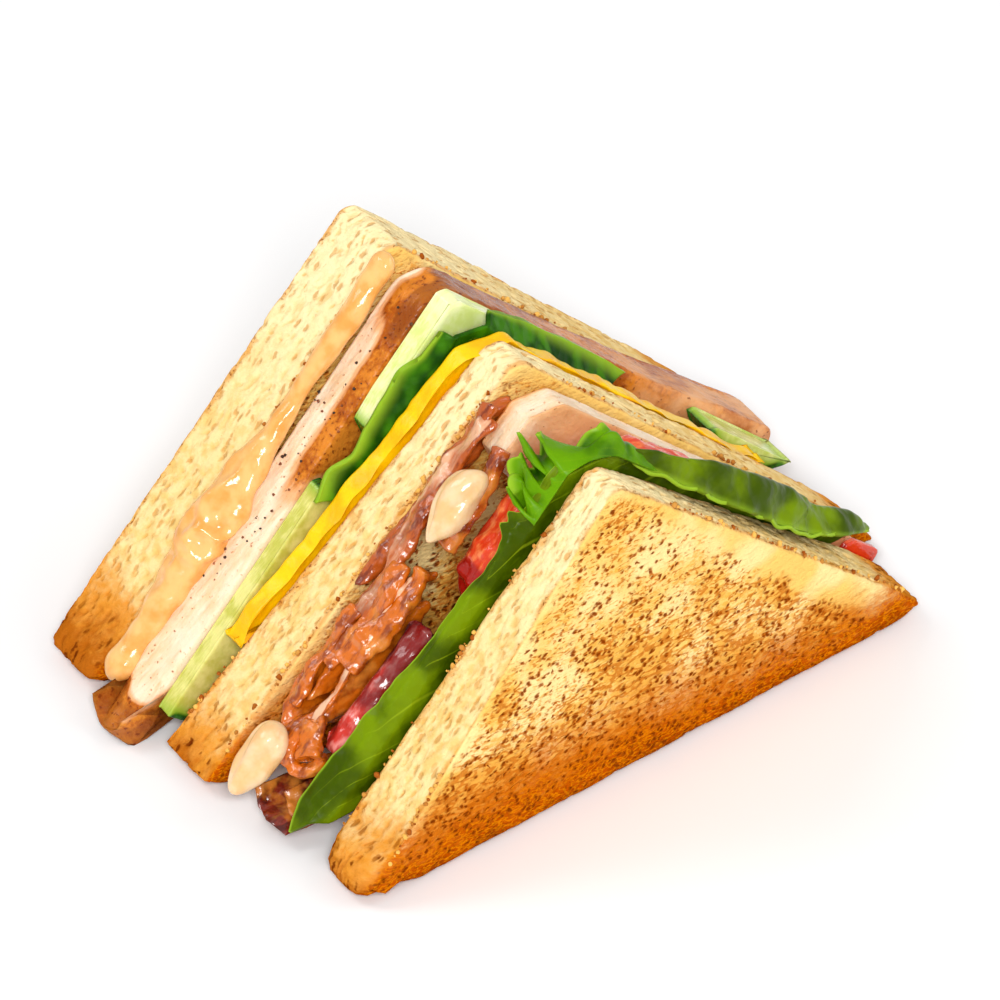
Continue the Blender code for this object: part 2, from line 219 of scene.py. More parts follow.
def on_cut(side, share, y, proud):
    """Points on a cut, share of the way up from the table, raised square to it by proud."""
    foot, slope = cut_at(side, y)
    z = np.interp(y, STACK_DEPTH, STACK_TOP) * share
    outward = -1.0 if side == 0 else 1.0
    square = 1 / np.sqrt(1 + slope**2)
    return xyz(foot + slope * z + outward * square * proud, y, z - outward * slope * square * proud)


def up_share(y, z):
    """How far up the stack a height z is at depth y, as a share."""
    return z / np.interp(y, STACK_DEPTH, STACK_TOP)


def square_to_cut(side, share, y):
    """The unit step off a cut at each of those points."""
    return on_cut(side, share, y, 1.0) - on_cut(side, share, y, 0.0)


print("cut slopes:", [round(line[1], 2) for line in CUTS[0] + CUTS[1]])

# %% [markdown]
# ## Noise, for anything that grew, was baked or was torn
# Nothing on a sandwich is even. Two kinds of noise do all the work: a smooth one, which blends
# random numbers between the corners of cubes, and a cellular one, which measures how far a point
# is from the nearest of a set of scattered bubbles. Bread is bubbles, so that one makes crumb.


# %% Smooth and cellular noise
HASH = np.array([[127.1, 269.5, 419.2], [311.7, 183.3, 371.9], [74.7, 246.1, 168.2]])


def hashed(cell, seed):
    """Three numbers from 0 to 1 that depend only on a whole-numbered cell and the seed."""
    return np.modf(np.abs(np.sin(cell @ HASH + seed * 17.13)) * 43758.5453)[0]


def smooth_noise(points, size, seed=0):
    """Noise from -1 to 1 whose bumps are about size apart."""
    shape = points.shape[:-1]
    place = points.reshape(-1, 3) / size
    cell = np.floor(place)
    part = place - cell
    part = part * part * (3 - 2 * part)
    total = np.zeros(len(place))
    for corner in np.ndindex(2, 2, 2):
        weight = np.prod(np.where(corner, part, 1 - part), axis=1)
        total += weight * hashed(cell + corner, seed)[:, 0]
    return (2 * total - 1).reshape(shape)


def bubbles(points, size, seed=0):
    """Distance to the nearest bubble as a share of size, and that bubble's own random number."""
    shape = points.shape[:-1]
    place = points.reshape(-1, 3) / size
    cell = np.floor(place)
    best, tag = np.full(len(place), 9.0), np.zeros(len(place))
    for step in np.ndindex(3, 3, 3):
        near = cell + np.array(step) - 1.0
        spot = hashed(near, seed)
        gap = np.linalg.norm(place - near - spot, axis=1)
        closer = gap < best
        best[closer] = gap[closer]
        tag[closer] = spot[closer, 2]
    return best.reshape(shape), tag.reshape(shape)


def ramp(value, low, high):
    """0 below low, 1 above high, and a smooth step between them."""
    share = np.clip((value - low) / (high - low), 0.0, 1.0)
    return share * share * (3 - 2 * share)


def hump(place, middle, reach):
    """A bell shape: 1 at middle, fading to 0 within about twice reach."""
    return np.exp(-(((place - middle) / reach) ** 2))


# %% [markdown]
# ## From a grid of points to a mesh
# A surface here is an array of shape (rows, columns, 3). A slice is closed: its columns wrap
# round and its first and last rows shrink to a pole. A leaf is open and gets its thickness from
# a Solidify modifier. Anything that a finish needs to know about a point, such as how far it is
# from the crust, goes along as an attribute.


# %% Mesh makers
def grid_faces(rows, columns, wrap):
    """Quads between neighbouring points of a grid, as index rows."""
    index = np.arange(rows * columns).reshape(rows, columns)
    if wrap:
        index = np.hstack([index, index[:, :1]])
    quads = np.stack([index[:-1, :-1], index[1:, :-1], index[1:, 1:], index[:-1, 1:]], axis=-1)
    return quads.reshape(-1, 4)


def write_mesh(name, points, faces, fields, finish):
    """Puts points and lists of faces into a mesh object whose faces look out.

    Points are kept inside the box of the solids, less a hair.
    """
    points = np.clip(points, np.array(cad_low) / MM + HAIR, np.array(cad_high) / MM - HAIR)
    loops = np.concatenate([part.ravel() for part in faces])
    sizes = np.concatenate([np.full(len(part), part.shape[1]) for part in faces])
    mesh = bpy.data.meshes.new(name)
    mesh.vertices.add(len(points))
    mesh.vertices.foreach_set("co", (points * MM).ravel())
    mesh.loops.add(len(loops))
    mesh.loops.foreach_set("vertex_index", loops)
    mesh.polygons.add(len(sizes))
    mesh.polygons.foreach_set("loop_start", np.concatenate([[0], np.cumsum(sizes)[:-1]]))
    mesh.polygons.foreach_set("use_smooth", np.ones(len(sizes), bool))
    mesh.update(calc_edges=True)
    for field, values in fields.items():
        mesh.attributes.new(field, "FLOAT", "POINT").data.foreach_set("value", values.astype(np.float32))
    mesh.materials.append(finish)
    piece = bpy.data.objects.new(name, mesh)
    bpy.context.scene.collection.objects.link(piece)
    return piece


def enclosed(points, faces):
    """Signed volume inside closed faces: positive when they look out."""
    total = 0.0
    for part in faces:
        for second in range(1, part.shape[1] - 1):
            a, b, c = (points[part[:, k]] for k in (0, second, second + 1))
            total += np.einsum("ij,ij->i", a, np.cross(b, c)).sum() / 6
    return total


def closed_surface(grid):
    """Points, quads and end fans: columns wrap round, first and last rows are drawn to a pole."""
    rows, columns, _ = grid.shape
    points = np.vstack([grid.reshape(-1, 3), grid[0].mean(0), grid[-1].mean(0)])
    first = np.arange(columns)
    fans = [np.stack([np.full(columns, pole), *ends], 1) for pole, ends in (
        (rows * columns, (first, np.roll(first, -1))),
        (rows * columns + 1, (np.roll(first, -1) + (rows - 1) * columns, first + (rows - 1) * columns)))]
    faces = [grid_faces(rows, columns, True), np.vstack(fans)]
    if enclosed(points, faces) < 0:
        faces = [part[:, ::-1] for part in faces]
    return points, faces


def closed_piece(name, grids, fields, finish):
    """One object from one or more closed grids, with a list of values per field and grid."""
    points, quads, fans, start = [], [], [], 0
    for grid in grids:
        spots, (four, three) = closed_surface(grid)
        points.append(spots)
        quads.append(four + start)
        fans.append(three + start)
        start += len(spots)
    fields = {key: np.concatenate([np.concatenate([value.ravel(), [value[0].mean(), value[-1].mean()]])
                                   for value in values]) for key, values in fields.items()}
    return write_mesh(name, np.vstack(points), [np.vstack(quads), np.vstack(fans)], fields, finish)


def sheet_piece(name, grid, thick, fields, finish):
    """An open sheet that a Solidify modifier gives its thickness to, half on each side."""
    rows, columns, _ = grid.shape
    fields = {key: value.ravel() for key, value in fields.items()}
    piece = write_mesh(name, grid.reshape(-1, 3), [grid_faces(rows, columns, False)], fields, finish)
    wall = piece.modifiers.new("thickness", "SOLIDIFY")
    wall.thickness = thick * MM
    wall.offset = 0.0
    return piece


def grid_normals(grid, wrap):
    """Unit normals of a grid, from the cross product of its two directions of travel."""
    if wrap:
        across = np.roll(grid, -1, axis=1) - np.roll(grid, 1, axis=1)
    else:
        across = np.gradient(grid, axis=1)
    down = np.gradient(grid, axis=0)
    normal = np.cross(across, down)
    return normal / np.maximum(np.linalg.norm(normal, axis=-1, keepdims=True), 1e-9)


def stand_in(piece, slot, *nodes):
    """Hangs a piece under the root body, hides the solids it stands for, and reports it. slot is not used."""
    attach(piece, "root")
    if nodes:
        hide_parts(*nodes)
    print(f"{piece.name}: {len(piece.data.polygons)} faces")
    return piece


# %% [markdown]
# ## Writing finishes as sums
# A finish is a tree of shader nodes. Wiring one by hand hides the idea behind it, so this small
# class wraps a socket: adding, multiplying or comparing two of them adds the Math nodes. Colours
# are blended through Mix nodes. Every pattern is read in the object's own coordinates.


# %% A socket that can be used in sums
class Socket:
    """One output of a shader node, usable in sums with numbers and other outputs."""

    def __init__(self, finish, link):
        self.finish, self.link = finish, link

    def combine(self, operation, first, second):
        return self.finish.node("ShaderNodeMath", {"operation": operation}, {0: first, 1: second})

    def __add__(self, other):
        return self.combine("ADD", self, other)

    def __sub__(self, other):
        return self.combine("SUBTRACT", self, other)

    def __rsub__(self, other):
        return self.combine("SUBTRACT", other, self)

    def __mul__(self, other):
        return self.combine("MULTIPLY", self, other)

    __radd__, __rmul__ = __add__, __mul__

    def size(self):
        return self.finish.node("ShaderNodeMath", {"operation": "ABSOLUTE"}, {0: self})


class Finish:
    """A Principled material under construction."""

    def __init__(self, name, **constants):
        self.material = bpy.data.materials.new(name)
        self.material.use_nodes = True
        self.tree = self.material.node_tree
        self.shader = self.tree.nodes["Principled BSDF"]
        for key, value in constants.items():
            self.shader.inputs[key.replace("_", " ")].default_value = value
        metres = self.node("ShaderNodeTexCoord", output="Object")
        self.place = self.node("ShaderNodeVectorMath", {"operation": "SCALE"}, {0: metres, "Scale": 1 / MM})

    def node(self, kind, settings=None, inputs=None, output=0):
        """Adds a node: its settings first, then the values or links of its sockets."""
        made = self.tree.nodes.new(kind)
        for key, value in (settings or {}).items():
            setattr(made, key, value)
        for key, value in (inputs or {}).items():
            if isinstance(value, Socket):
                self.tree.links.new(value.link, made.inputs[key])
            else:
                made.inputs[key].default_value = value
        return Socket(self, made.outputs[output])

    def field(self, name):
        """An attribute that the mesh carries."""
        return self.node("ShaderNodeAttribute", {"attribute_name": name}, output="Fac")

    def stretched(self, x, y, z):
        """The place, squeezed along each axis, so that a pattern is drawn out there."""
        return self.node("ShaderNodeVectorMath", {"operation": "MULTIPLY"}, {0: self.place, 1: (x, y, z)})

    def noise(self, size, detail=2.0, place=None, rough=0.5):
        """Cloudy noise, about 0 to 1, with features of that size in millimetres."""
        return self.node("ShaderNodeTexNoise", {}, {
            "Vector": place or self.place, "Scale": 1 / size, "Detail": detail, "Roughness": rough})

    def cells(self, size, place=None, output="Distance"):
        """Distance to the nearest of the points scattered about size apart."""
        return self.node("ShaderNodeTexVoronoi", {}, {
            "Vector": place or self.place, "Scale": 1 / size}, output)

    def chance(self, size, place=None):
        """A number from 0 to 1 for each of the cells that cells() measures from."""
        return self.cells(size, place, "Color")

    def strokes(self, size, width, place=None):
        """Thin wandering strokes: 1 where cloudy noise passes through its middle value."""
        return self.step((self.noise(size, 1.0, place) - 0.5).size(), width, width * 0.4)

    def step(self, value, low, high):
        """0 below low, 1 above high, smooth between."""
        return self.node("ShaderNodeMapRange", {"interpolation_type": "SMOOTHSTEP"}, {
            "Value": value, "From Min": low, "From Max": high}, output="Result")

    def blend(self, base, colour, share):
        """The base colour with another laid over it by share."""
        return self.node("ShaderNodeMix", {"data_type": "RGBA"}, {
            0: share, 6: base, 7: colour}, output=2)

    def layered(self, base, *coats):
        """A screen colour with coats laid over it in turn, each a screen colour and its share."""
        base = colour(base)
        for code, share in coats:
            base = self.blend(base, colour(code), share)
        return base

    def bump(self, height, size, strength):
        """Relief of size millimetres for a height from 0 to 1."""
        inputs = {"Height": height, "Distance": size * MM, "Strength": strength}
        return self.node("ShaderNodeBump", {}, inputs, output="Normal")

    def wear(self, **links):
        """Links results to the shader's own sockets."""
        for key, value in links.items():
            self.tree.links.new(value.link, self.shader.inputs[key.replace("_", " ")])
        return self.material


def colour(code):
    """A hexadecimal screen colour as the linear colour that shaders use."""
    values = [int(code[k:k + 2], 16) / 255 for k in (0, 2, 4)]
    return tuple(v / 12.92 if v <= 0.04045 else ((v + 0.055) / 1.055) ** 2.4 for v in values) + (1.0,)


def moist(name, rough, gloss, glow, *reach):
    """A finish that lets in some light: glow is how much, reach how deep red, green and blue go."""
    return Finish(name, Roughness=rough, Specular_IOR_Level=gloss, Subsurface_Weight=glow,
                  Subsurface_Radius=[colour_reach * MM for colour_reach in reach], Subsurface_Scale=1.0)


print("shader helpers ready")

# %% [markdown]
# ## A slice wrapped in one closed surface
# One grid covers a whole slice. Its columns go round the outline. Its rows start in the middle
# of the front face, run out to the edge, go over the rounded rim and across the thickness, and
# come back to the middle of the back face. Spoke says how far out a row is and share how deep.


# %% The slice surface
MOST_ROUNDING = 0.48  # of a slice's thickness, so that a flat rim is always left
CORNER_ROWS = 4


def slab(node, step, reach, face_rows, rim_rows, rounding, push=None, trim=0.0):
    """Rows and columns of points over a slice, with its outward normals and helpful distances.

    point = middle + (edge - middle) * spoke in x and z, and y = front + (back - front) * share,
    where the edge is drawn in by rounding * (1 - sin angle) on the way round each corner. step,
    reach and trim go to outline(). rounding and push are functions of the outline's points, and
    push says how far each of them moves outwards.
    """
    line, out = outline(node, step, reach, trim)
    if push is not None:
        floor = line[:, 1].min()
        line = line + out * push(line)[:, None]
        line[:, 1] = np.maximum(line[:, 1], floor)
    front, back = (face_plane(node, side) for side in (-1, 1))
    thick = (depth(back, *line.T) - depth(front, *line.T))
    radius = np.minimum(rounding(line), MOST_ROUNDING * thick)
    middle = line.mean(0)
    turn = np.linspace(0, math.pi / 2, CORNER_ROWS + 2)[1:-1]
    spokes = np.linspace(0, 1, face_rows + 1)[1:] ** 0.8
    rows = [(spoke, None, 0.0) for spoke in spokes]
    rows += [(1.0, angle, 0.0) for angle in turn]
    rows += [(1.0, math.pi / 2, share) for share in np.linspace(0, 1, rim_rows)]
    rows += [(1.0, math.pi - angle, 1.0) for angle in turn[::-1]]
    rows += [(spoke, None, 1.0) for spoke in spokes[::-1]]
    grid, normal = np.empty((2, len(rows), len(line), 3))
    sideways = xyz(out[:, 0], 0.0, out[:, 1])
    facing = [sign * np.array([-plane[1], 1.0, -plane[2]]) for sign, plane in ((-1, front), (1, back))]
    for index, (spoke, angle, share) in enumerate(rows):
        bend = (0.0 if share < 0.5 else math.pi) if angle is None else angle
        inset = radius * (1 - math.sin(bend))
        flat = middle + (line - out * inset[:, None] - middle) * spoke
        y_front, y_back = depth(front, *flat.T), depth(back, *flat.T)
        shave = radius * (1 - abs(math.cos(bend)))
        y = (y_front + shave) * (1 - share) + (y_back - shave) * share
        grid[index] = xyz(flat[:, 0], y, flat[:, 1])
        normal[index] = sideways * math.sin(bend) + facing[int(math.cos(bend) < 0)] * abs(math.cos(bend))
    rim = np.array([0.0 if angle is None else math.sin(angle) for _, angle, _ in rows])[:, None]
    return {"grid": grid, "normal": normal, "line": line, "out": out, "rim": rim + 0 * grid[..., 0],
            "share": np.array([row[2] for row in rows])[:, None] + 0 * grid[..., 0],
            "front": front, "back": back}


def face_depths(wrap):
    """Depth of a slice's front and back face at each point of its grid."""
    x, _, z = np.moveaxis(wrap["grid"], -1, 0)
    return (depth(wrap[key], x, z) for key in ("front", "back"))


def nearest(grid, line):
    """Distance in x and z from each point of a grid to the nearest point of a line."""
    spots = grid[..., [0, 2]].reshape(-1, 2)
    best = np.full(len(spots), 1e9)
    for start in range(0, len(line), 60):
        gap = np.linalg.norm(spots[:, None, :] - line[None, start:start + 60], axis=2)
        best = np.minimum(best, gap.min(axis=1))
    return best.reshape(grid.shape[:-1])


def swollen(grid, lump):
    """A closed grid pushed away from its middle by lump, square to its surface."""
    normal = grid_normals(grid, True)
    away = ((grid - grid.mean((0, 1))) * normal).sum(-1)
    return grid + normal * (1.0 if np.median(away) > 0 else -1.0) * lump[..., None]


# %% [markdown]
# ## Toast
# A slice of white sandwich loaf, toasted on both faces and cut from corner to corner, so that
# each quarter keeps one side of crust. The knife opens the crumb: long bubbles, stretched by
# the rising dough, cut through at every angle. They are real hollows here, because they catch
# the light along the whole cut. The toasted faces only have shallow pits, whose rims brown first.


# %% Toast finish
PRICK_SIZE, BUBBLE_SIZE = 1.0, 0.95


def toast_finish(name, seed, browning_and_shade):
    """Cream crumb, freckled toasting that deepens towards a dark golden crust.

    The last argument lifts the browning by that many millimetres where it is below zero; on the back
    toast that darker low part is partly toasting and partly painted shade.
    """
    toast = Finish(name, Roughness=0.75, Specular_IOR_Level=0.0)
    shift = toast.node("ShaderNodeVectorMath", {"operation": "ADD"},
                       {0: toast.place, 1: (seed * 31.0, 0.0, seed * 17.0)})
    grain = toast.node("ShaderNodeVectorMath", {"operation": "MULTIPLY"}, {0: shift, 1: (0.62, 1.0, 1.35)})
    cut, pore = toast.field("cut"), toast.field("pore")
    wander, cloud = toast.noise(6.0, 3.0, shift), toast.noise(9.0, 2.0, shift)
    fine = toast.noise(1.3, 3.0, grain, rough=0.62)
    speck = toast.noise(0.55, 2.0, grain, rough=0.6)
    height = toast.field("from_crust") + (wander - 0.5) * 8.0
    swirl = toast.node("ShaderNodeTexNoise", {}, {"Vector": grain, "Scale": 0.9}, output="Color")

    def stirred(place, amount):
        return toast.node("ShaderNodeVectorMath", {"operation": "MULTIPLY_ADD"},
                          {0: swirl, 1: (amount, amount, amount), 2: place})

    # toasted face: pricks and short curls, fewer towards the cuts, closer towards the crust
    bent = stirred(shift, 1.5)
    patchy = (cloud - 0.5) * 0.55 + toast.step(height, 34.0, 4.0) * 0.22 - 0.05
    ring = toast.cells(PRICK_SIZE, bent)
    chosen = toast.step(toast.chance(PRICK_SIZE, bent) + patchy, 0.45, 0.51)
    far = toast.step(toast.node("ShaderNodeSeparateXYZ", {}, {0: toast.place}, output="X"), 0.0, 30.0)
    margin = toast.field("from_cut") + (wander - 0.5) * 5.0 + (fine - 0.5) * 4.0 - far * 3.5
    edge = toast.step(margin, 0.6, 2.8)
    dots, core, bowl = (toast.step(ring, low, high) * chosen * edge
                        for low, high in ((0.48, 0.30), (0.36, 0.16), (0.62, 0.08)))
    curls = toast.strokes(1.8, 0.085, grain) * toast.step(speck + patchy, 0.46, 0.54) * edge
    halo = toast.step(fine * 0.5 + speck * 0.5 + patchy * 0.6, 0.45, 0.58) * edge
    broad = toast.step(height + (fine - 0.5) * 12.0 + (speck - 0.5) * 8.0 + far * 4.0, 18.0, 5.0)
    deep = toast.step(height + (fine - 0.5) * 7.0 + browning_and_shade, 10.0, 2.0)
    scorch = toast.step(height + (speck - 0.5) * 12.0, 4.5, -1.5)
    face = toast.layered(
        "FBDF98", ("F6C96C", toast.step(cloud, 0.35, 0.6)), ("EAA238", halo * 0.7),
        ("D06C04", broad * 0.95), ("C2640E", curls * 0.7), ("B84E00", deep * 0.97),
        ("EE9006", toast.strokes(0.8, 0.09, grain) * deep * 0.6), ("BC5C0A", dots * 0.8),
        ("7A3004", core * 0.85), ("7E3606", scorch * 0.75))
    # open crumb on the cuts, browned at its edges and where it runs into the crust; its pores and
    # bubbles are painted darker as painted shade, and near the tip darker still, from toasting and painted
    # shade
    drawn = toast.node("ShaderNodeCombineXYZ", {}, {
        "X": toast.field("along") * 0.42, "Y": toast.field("across"), "Z": seed * 3.0})
    lain = stirred(drawn, 0.7)
    cell = toast.cells(BUBBLE_SIZE, lain)
    opened = toast.step(toast.chance(BUBBLE_SIZE, lain), 0.46, 0.60)
    hollow_shade = toast.step(cell, 0.46, 0.22) * opened
    rubbed = toast.step(toast.field("from_face") + (wander - 0.5) * 3.4 + (fine - 0.5) * 1.6, 1.3, 0.3)
    warm = height + (fine - 0.5) * 6.0 + browning_and_shade
    tipped = toast.step(height, 12.0, 4.0)
    crumb = toast.layered(
        "F7DA9A", ("EEC77A", toast.step(toast.noise(2.0, 3.0, shift), 0.4, 0.65)),
        ("FFF0C0", toast.step(height, 26.0, 50.0) * 0.6), ("DCA854", toast.step(pore, 0.25, 1.0) * 0.8),
        ("CC8C3C", hollow_shade * 0.65), ("D68A28", rubbed * 0.65),
        ("8A3F0A", rubbed * toast.step(speck, 0.56, 0.64) * 0.8),
        ("DE8A1E", toast.step(warm, 12.0, 5.0) * 0.9), ("AE5A0C", toast.step(warm, 6.0, 1.0) * 0.9),
        ("702E06", (toast.step(pore, 0.4, 1.0) * 0.8 + hollow_shade * 0.9) * tipped))
    coat = toast.blend(face, crumb, toast.step(cut, 0.35, 0.9))
    sunk = bowl * (1.0 - cut) + toast.step(cell, 0.62, 0.05) * opened * cut * 0.6
    rough = (fine * 0.6 + speck * 0.35) * (1.0 - cut * 0.3)
    relief = toast.bump(rough - sunk * 0.4, 0.8, 0.9)
    return toast.wear(Base_Color=coat, Normal=relief)


# %% Toast slices
CRUST_EDGE, CRUST_ROUNDING, CUT_ROUNDING = 2.4, 2.2, 0.9
KNOB_ROUNDING, KNOB_SWELL, BLUNTED_TIP = 4.8, 1.9, 0.9


def toast(name, node, seed, knob, browning_and_shade):
    """A toast slice: the slab with bubbles opened on the cuts and pits on the faces.

    Bubbles are laid out in (way round the edge, depth), stretched along the edge. knob is how
    far, from 0 to 1, the left tip is rounded into a knob of crust.
    """
    step = 0.40 / TIGHT
    left = next(box_of(node))[0]

    def near_tip(line):
        return knob * ramp(line[:, 0] - left, 10.0, 3.0) * ramp(line[:, 1], 9.0, 4.0)

    def rounding(line):
        plain = np.where(line[:, 1] < CRUST_EDGE, CRUST_ROUNDING, CUT_ROUNDING)
        return plain + (KNOB_ROUNDING - plain) * near_tip(line)

    def swell(line):
        return KNOB_SWELL * near_tip(line)

    wrap = slab(node, step, 0.6, even(38), even(34), rounding, swell, BLUNTED_TIP)
    grid, line = wrap["grid"], wrap["line"]
    bottom = line[:, 1].min()
    on_crust = wrap["out"][:, 1] < -0.8  # where the outline looks down
    cut = wrap["rim"] * np.where(on_crust, 0.0, 1.0)[None, :]
    from_cut = nearest(grid, line[~on_crust][::2])
    y_front, y_back = face_depths(wrap)
    from_face = np.minimum(grid[..., 1] - y_front, y_back - grid[..., 1])
    normal = wrap["normal"]
    round_edge = np.arange(len(line))[None, :] * step + 0 * grid[..., 0]
    laid = xyz(round_edge, grid[..., 1], 0.0)
    warped = laid + 0.7 * xyz(*(smooth_noise(laid, 2.2, seed + k) for k in range(3)))
    warped[..., 0] += 0.6 * warped[..., 1]
    hole, tag = bubbles(warped * [0.42, 1.0, 1.0], 1.25, seed + 5)
    tiny, tiny_tag = bubbles(warped * [0.6, 1.0, 1.0], 0.72, seed + 9)
    pore = ramp(0.58 - hole - 0.22 * tag, 0.0, 0.3) * (0.5 + 0.5 * tag)
    pore = np.maximum(pore, 0.6 * ramp(0.5 - tiny, 0.0, 0.3) * (tiny_tag > 0.45))
    heave = smooth_noise(grid, 6.0, seed + 11) * 0.5 + smooth_noise(grid, 2.4, seed + 12) * 0.35
    pit = ramp(0.5 - bubbles(grid * [0.7, 1, 1.2], 1.3, seed + 14)[0], 0.0, 0.4)
    sunk_cut = 0.06 + 0.5 * pore + 0.3 * (1 - heave)
    sunk_face = 0.05 + 0.2 * pit + 0.2 * (1 - heave)
    grid = grid - normal * (cut * sunk_cut + (1 - cut) * sunk_face)[..., None]
    grid[..., 2] = np.maximum(grid[..., 2], HAIR)
    fields = {"cut": [cut], "from_crust": [grid[..., 2] - bottom], "from_cut": [from_cut],
              "from_face": [from_face], "pore": [pore], "along": [round_edge], "across": [grid[..., 1]]}
    piece = closed_piece(name, [grid], fields, toast_finish(name + "_finish", seed, browning_and_shade))
    return stand_in(piece, "toasted_bread", node)


toast("front_toast", "toast_front", 1, 1.0, 0.0)
toast("middle_toast", "toast_middle", 2, 0.0, 0.0)
# the back toast is browned higher up its low part: toasting and painted shade together
toast("back_toast", "toast_back", 3, 0.6, -3.5)

# %% [markdown]
# ## Roast turkey
# Two thick slices of breast. The meat is pale and close-grained, with faint fibres running along
# it, and browned skin where the joint's outside was. The back slice hangs out at both ends and
# its lower left tip is roasted dark and glazed, so its browning is stored as a field.


# %% Turkey finish and slices
def turkey_finish(name):
    """Pale pink meat with fibres, browned where the field rind is high."""
    meat = moist(name, 0.42, 0.2, 0.08, 4.0, 1.5, 0.8)
    long = meat.stretched(0.35, 1.6, 0.35)
    fibre = meat.noise(1.3, 4.0, long, rough=0.6)
    cloud = meat.noise(7.0, 3.0)
    fleck = meat.noise(0.7, 2.0)
    base = meat.layered("FBE2C4", ("F2CA9C", meat.step(cloud * 0.6 + fibre * 0.4, 0.42, 0.66)),
                        ("E58A4A", meat.step(fleck, 0.63, 0.72) * 0.5))
    rind = meat.field("rind") + (fibre - 0.5) * 0.5 + (cloud - 0.5) * 0.5
    roast = meat.layered("DB8428", ("AC5614", meat.step(cloud + (fleck - 0.5) * 0.6, 0.35, 0.65)),
                         ("8A4516", meat.step(rind, 1.1, 1.6) * 0.7))
    coat = meat.blend(base, colour("E8A468"), meat.step(rind, 0.1, 0.5) * 0.85)
    coat = meat.blend(coat, roast, meat.step(rind, 0.5, 0.85))
    coat = meat.blend(coat, colour("6E2C0C"), meat.step(fleck + rind * 0.06, 0.70, 0.76) * 0.7)
    wet = meat.step(rind, 0.4, 0.9)
    relief = meat.bump(fibre * 0.6 + fleck * 0.4, 0.45, 0.8)
    return meat.wear(Base_Color=coat, Normal=relief, Roughness=0.46 - wet * 0.2)


def meat(name, node, seed, rind_of, reach, rounding, tip_rounding):
    """A slice of roast meat: soft corners, rounder at its left tip, a heaving surface and a rind."""
    left = next(box_of(node))[0]
    wrap = slab(node, 0.6 / TIGHT, reach, even(20), even(18),
                lambda line: rounding + (tip_rounding - rounding) * ramp(line[:, 0] - left, 12.0, 2.0))
    grid = wrap["grid"]
    y_front, y_back = face_depths(wrap)
    share = (grid[..., 1] - y_front) / (y_back - y_front)
    rind = rind_of(grid, share)
    heave = sum(much * smooth_noise(grid, size, seed + number)
                for number, (size, much) in enumerate(((5.0, 0.5), (1.8, 0.3), (0.9, 0.2))))
    grid = grid - wrap["normal"] * (0.4 * (1 - heave) * wrap["rim"] + 0.12)[..., None]
    grid[..., 2] = np.maximum(grid[..., 2], HAIR)
    piece = closed_piece(name, [grid], {"rind": [rind]}, turkey_finish(name + "_finish"))
    return stand_in(piece, "roast_turkey", node)


def back_rind(grid, share):
    """Browned along the front of the left cut above half way, round the point, and at the tips."""
    x, _, z = np.moveaxis(grid, -1, 0)
    left_band = ramp(z, 24.0, 35.0) * ramp(share, 0.58, 0.28) * ramp(x, 6.0, 2.0)
    point = 0.9 * ramp(z, 46.5, 51.0) * ramp(share, 0.95, 0.7)
    tip = ramp(z + 2.5 * smooth_noise(grid, 3.0, 23), 7.5, 4.5) * ramp(x, -25.0, -35.0)
    right = ramp(x, 0.0, 5.0) * (1.25 - 0.6 * ramp(x, 16.0, 38.0) + 0.6 * ramp(share, 0.75, 0.95))
    return np.clip(left_band + point + 1.5 * tip + right, 0.0, 1.6)


def front_rind(grid, share):
    """A thin browned line where each face meets the cut, wider at the back of its left end."""
    edges = ramp(np.abs(share - 0.5), 0.42, 0.5)
    left_back = ramp(grid[..., 0], 2.0, -4.0) * ramp(share, 0.5, 0.9)
    return 0.45 * (edges + left_back)


meat("back_turkey", "turkey_back", 21, back_rind, 1.3, 0.9, 4.2)
meat("front_turkey", "turkey_front", 31, front_rind, 0.5, 0.6, 0.6)

# %% [markdown]
# ## Cheddar
# One slice on the middle toast, warmed until its edge sagged over the knife cut in soft drips.
# The drips are slow noise that pushes its edge in and out and forward, with a rounded rim.


# %% Cheese
def cheese_finish():
    """Warm yellow with a faint oily gloss."""
    cheddar = moist("cheddar_finish", 0.35, 0.3, 0.1, 3.0, 1.5, 0.3)
    cloud = cheddar.noise(4.0, 3.0)
    coat = cheddar.layered("FFCF04", ("F8B600", cheddar.step(cloud, 0.35, 0.65)))
    return cheddar.wear(Base_Color=coat, Normal=cheddar.bump(cheddar.noise(0.9, 3.0), 0.25, 0.5))


wrap = slab("cheese", 0.5 / TIGHT, 0.4, even(14), even(10), lambda line: 0 * line[:, 0] + 0.75)
grid = wrap["grid"]
drip = 0.55 * smooth_noise(grid, 5.0, 41) + 0.35 * smooth_noise(grid, 1.9, 42)
slump = wrap["rim"] * (1 - wrap["share"]) * (1.7 + 1.2 * smooth_noise(grid, 4.0, 43))
grid = grid + wrap["normal"] * (wrap["rim"] * (drip - 0.1))[..., None]
grid[..., 1] -= slump
stand_in(closed_piece("cheddar", [grid], {}, cheese_finish()), "melted_cheddar", "cheese")

# %% [markdown]
# ## Cucumber and tomato
# Both are round slices that the knife crossed, so each outline is part circle and part straight
# cut. The circle keeps its skin: dark green or deep red. The distance from that arc is the
# field skin, measured in from the arc, which the finish turns into rind, flesh and seed belt.


# %% Round slices
CUT_MARGIN = 1.0  # how far inside both cuts a point of the circle is


def on_arc(line, y):
    """Which points of an outline lie on the circle rather than on a knife cut."""
    gaps = []
    for side, inward in ((0, 1), (1, -1)):
        foot, slope = cut_at(side, y)
        gaps.append((line[:, 0] - foot - slope * line[:, 1]) * inward / np.sqrt(1 + slope**2))
    return np.minimum(*gaps) > CUT_MARGIN


CUCUMBER_FLESH = {"left": ("E4DE86", "C4C252"), "top": ("F4FAB8", "DDEA86"), "right": ("E8EC9E", "BCCC58")}


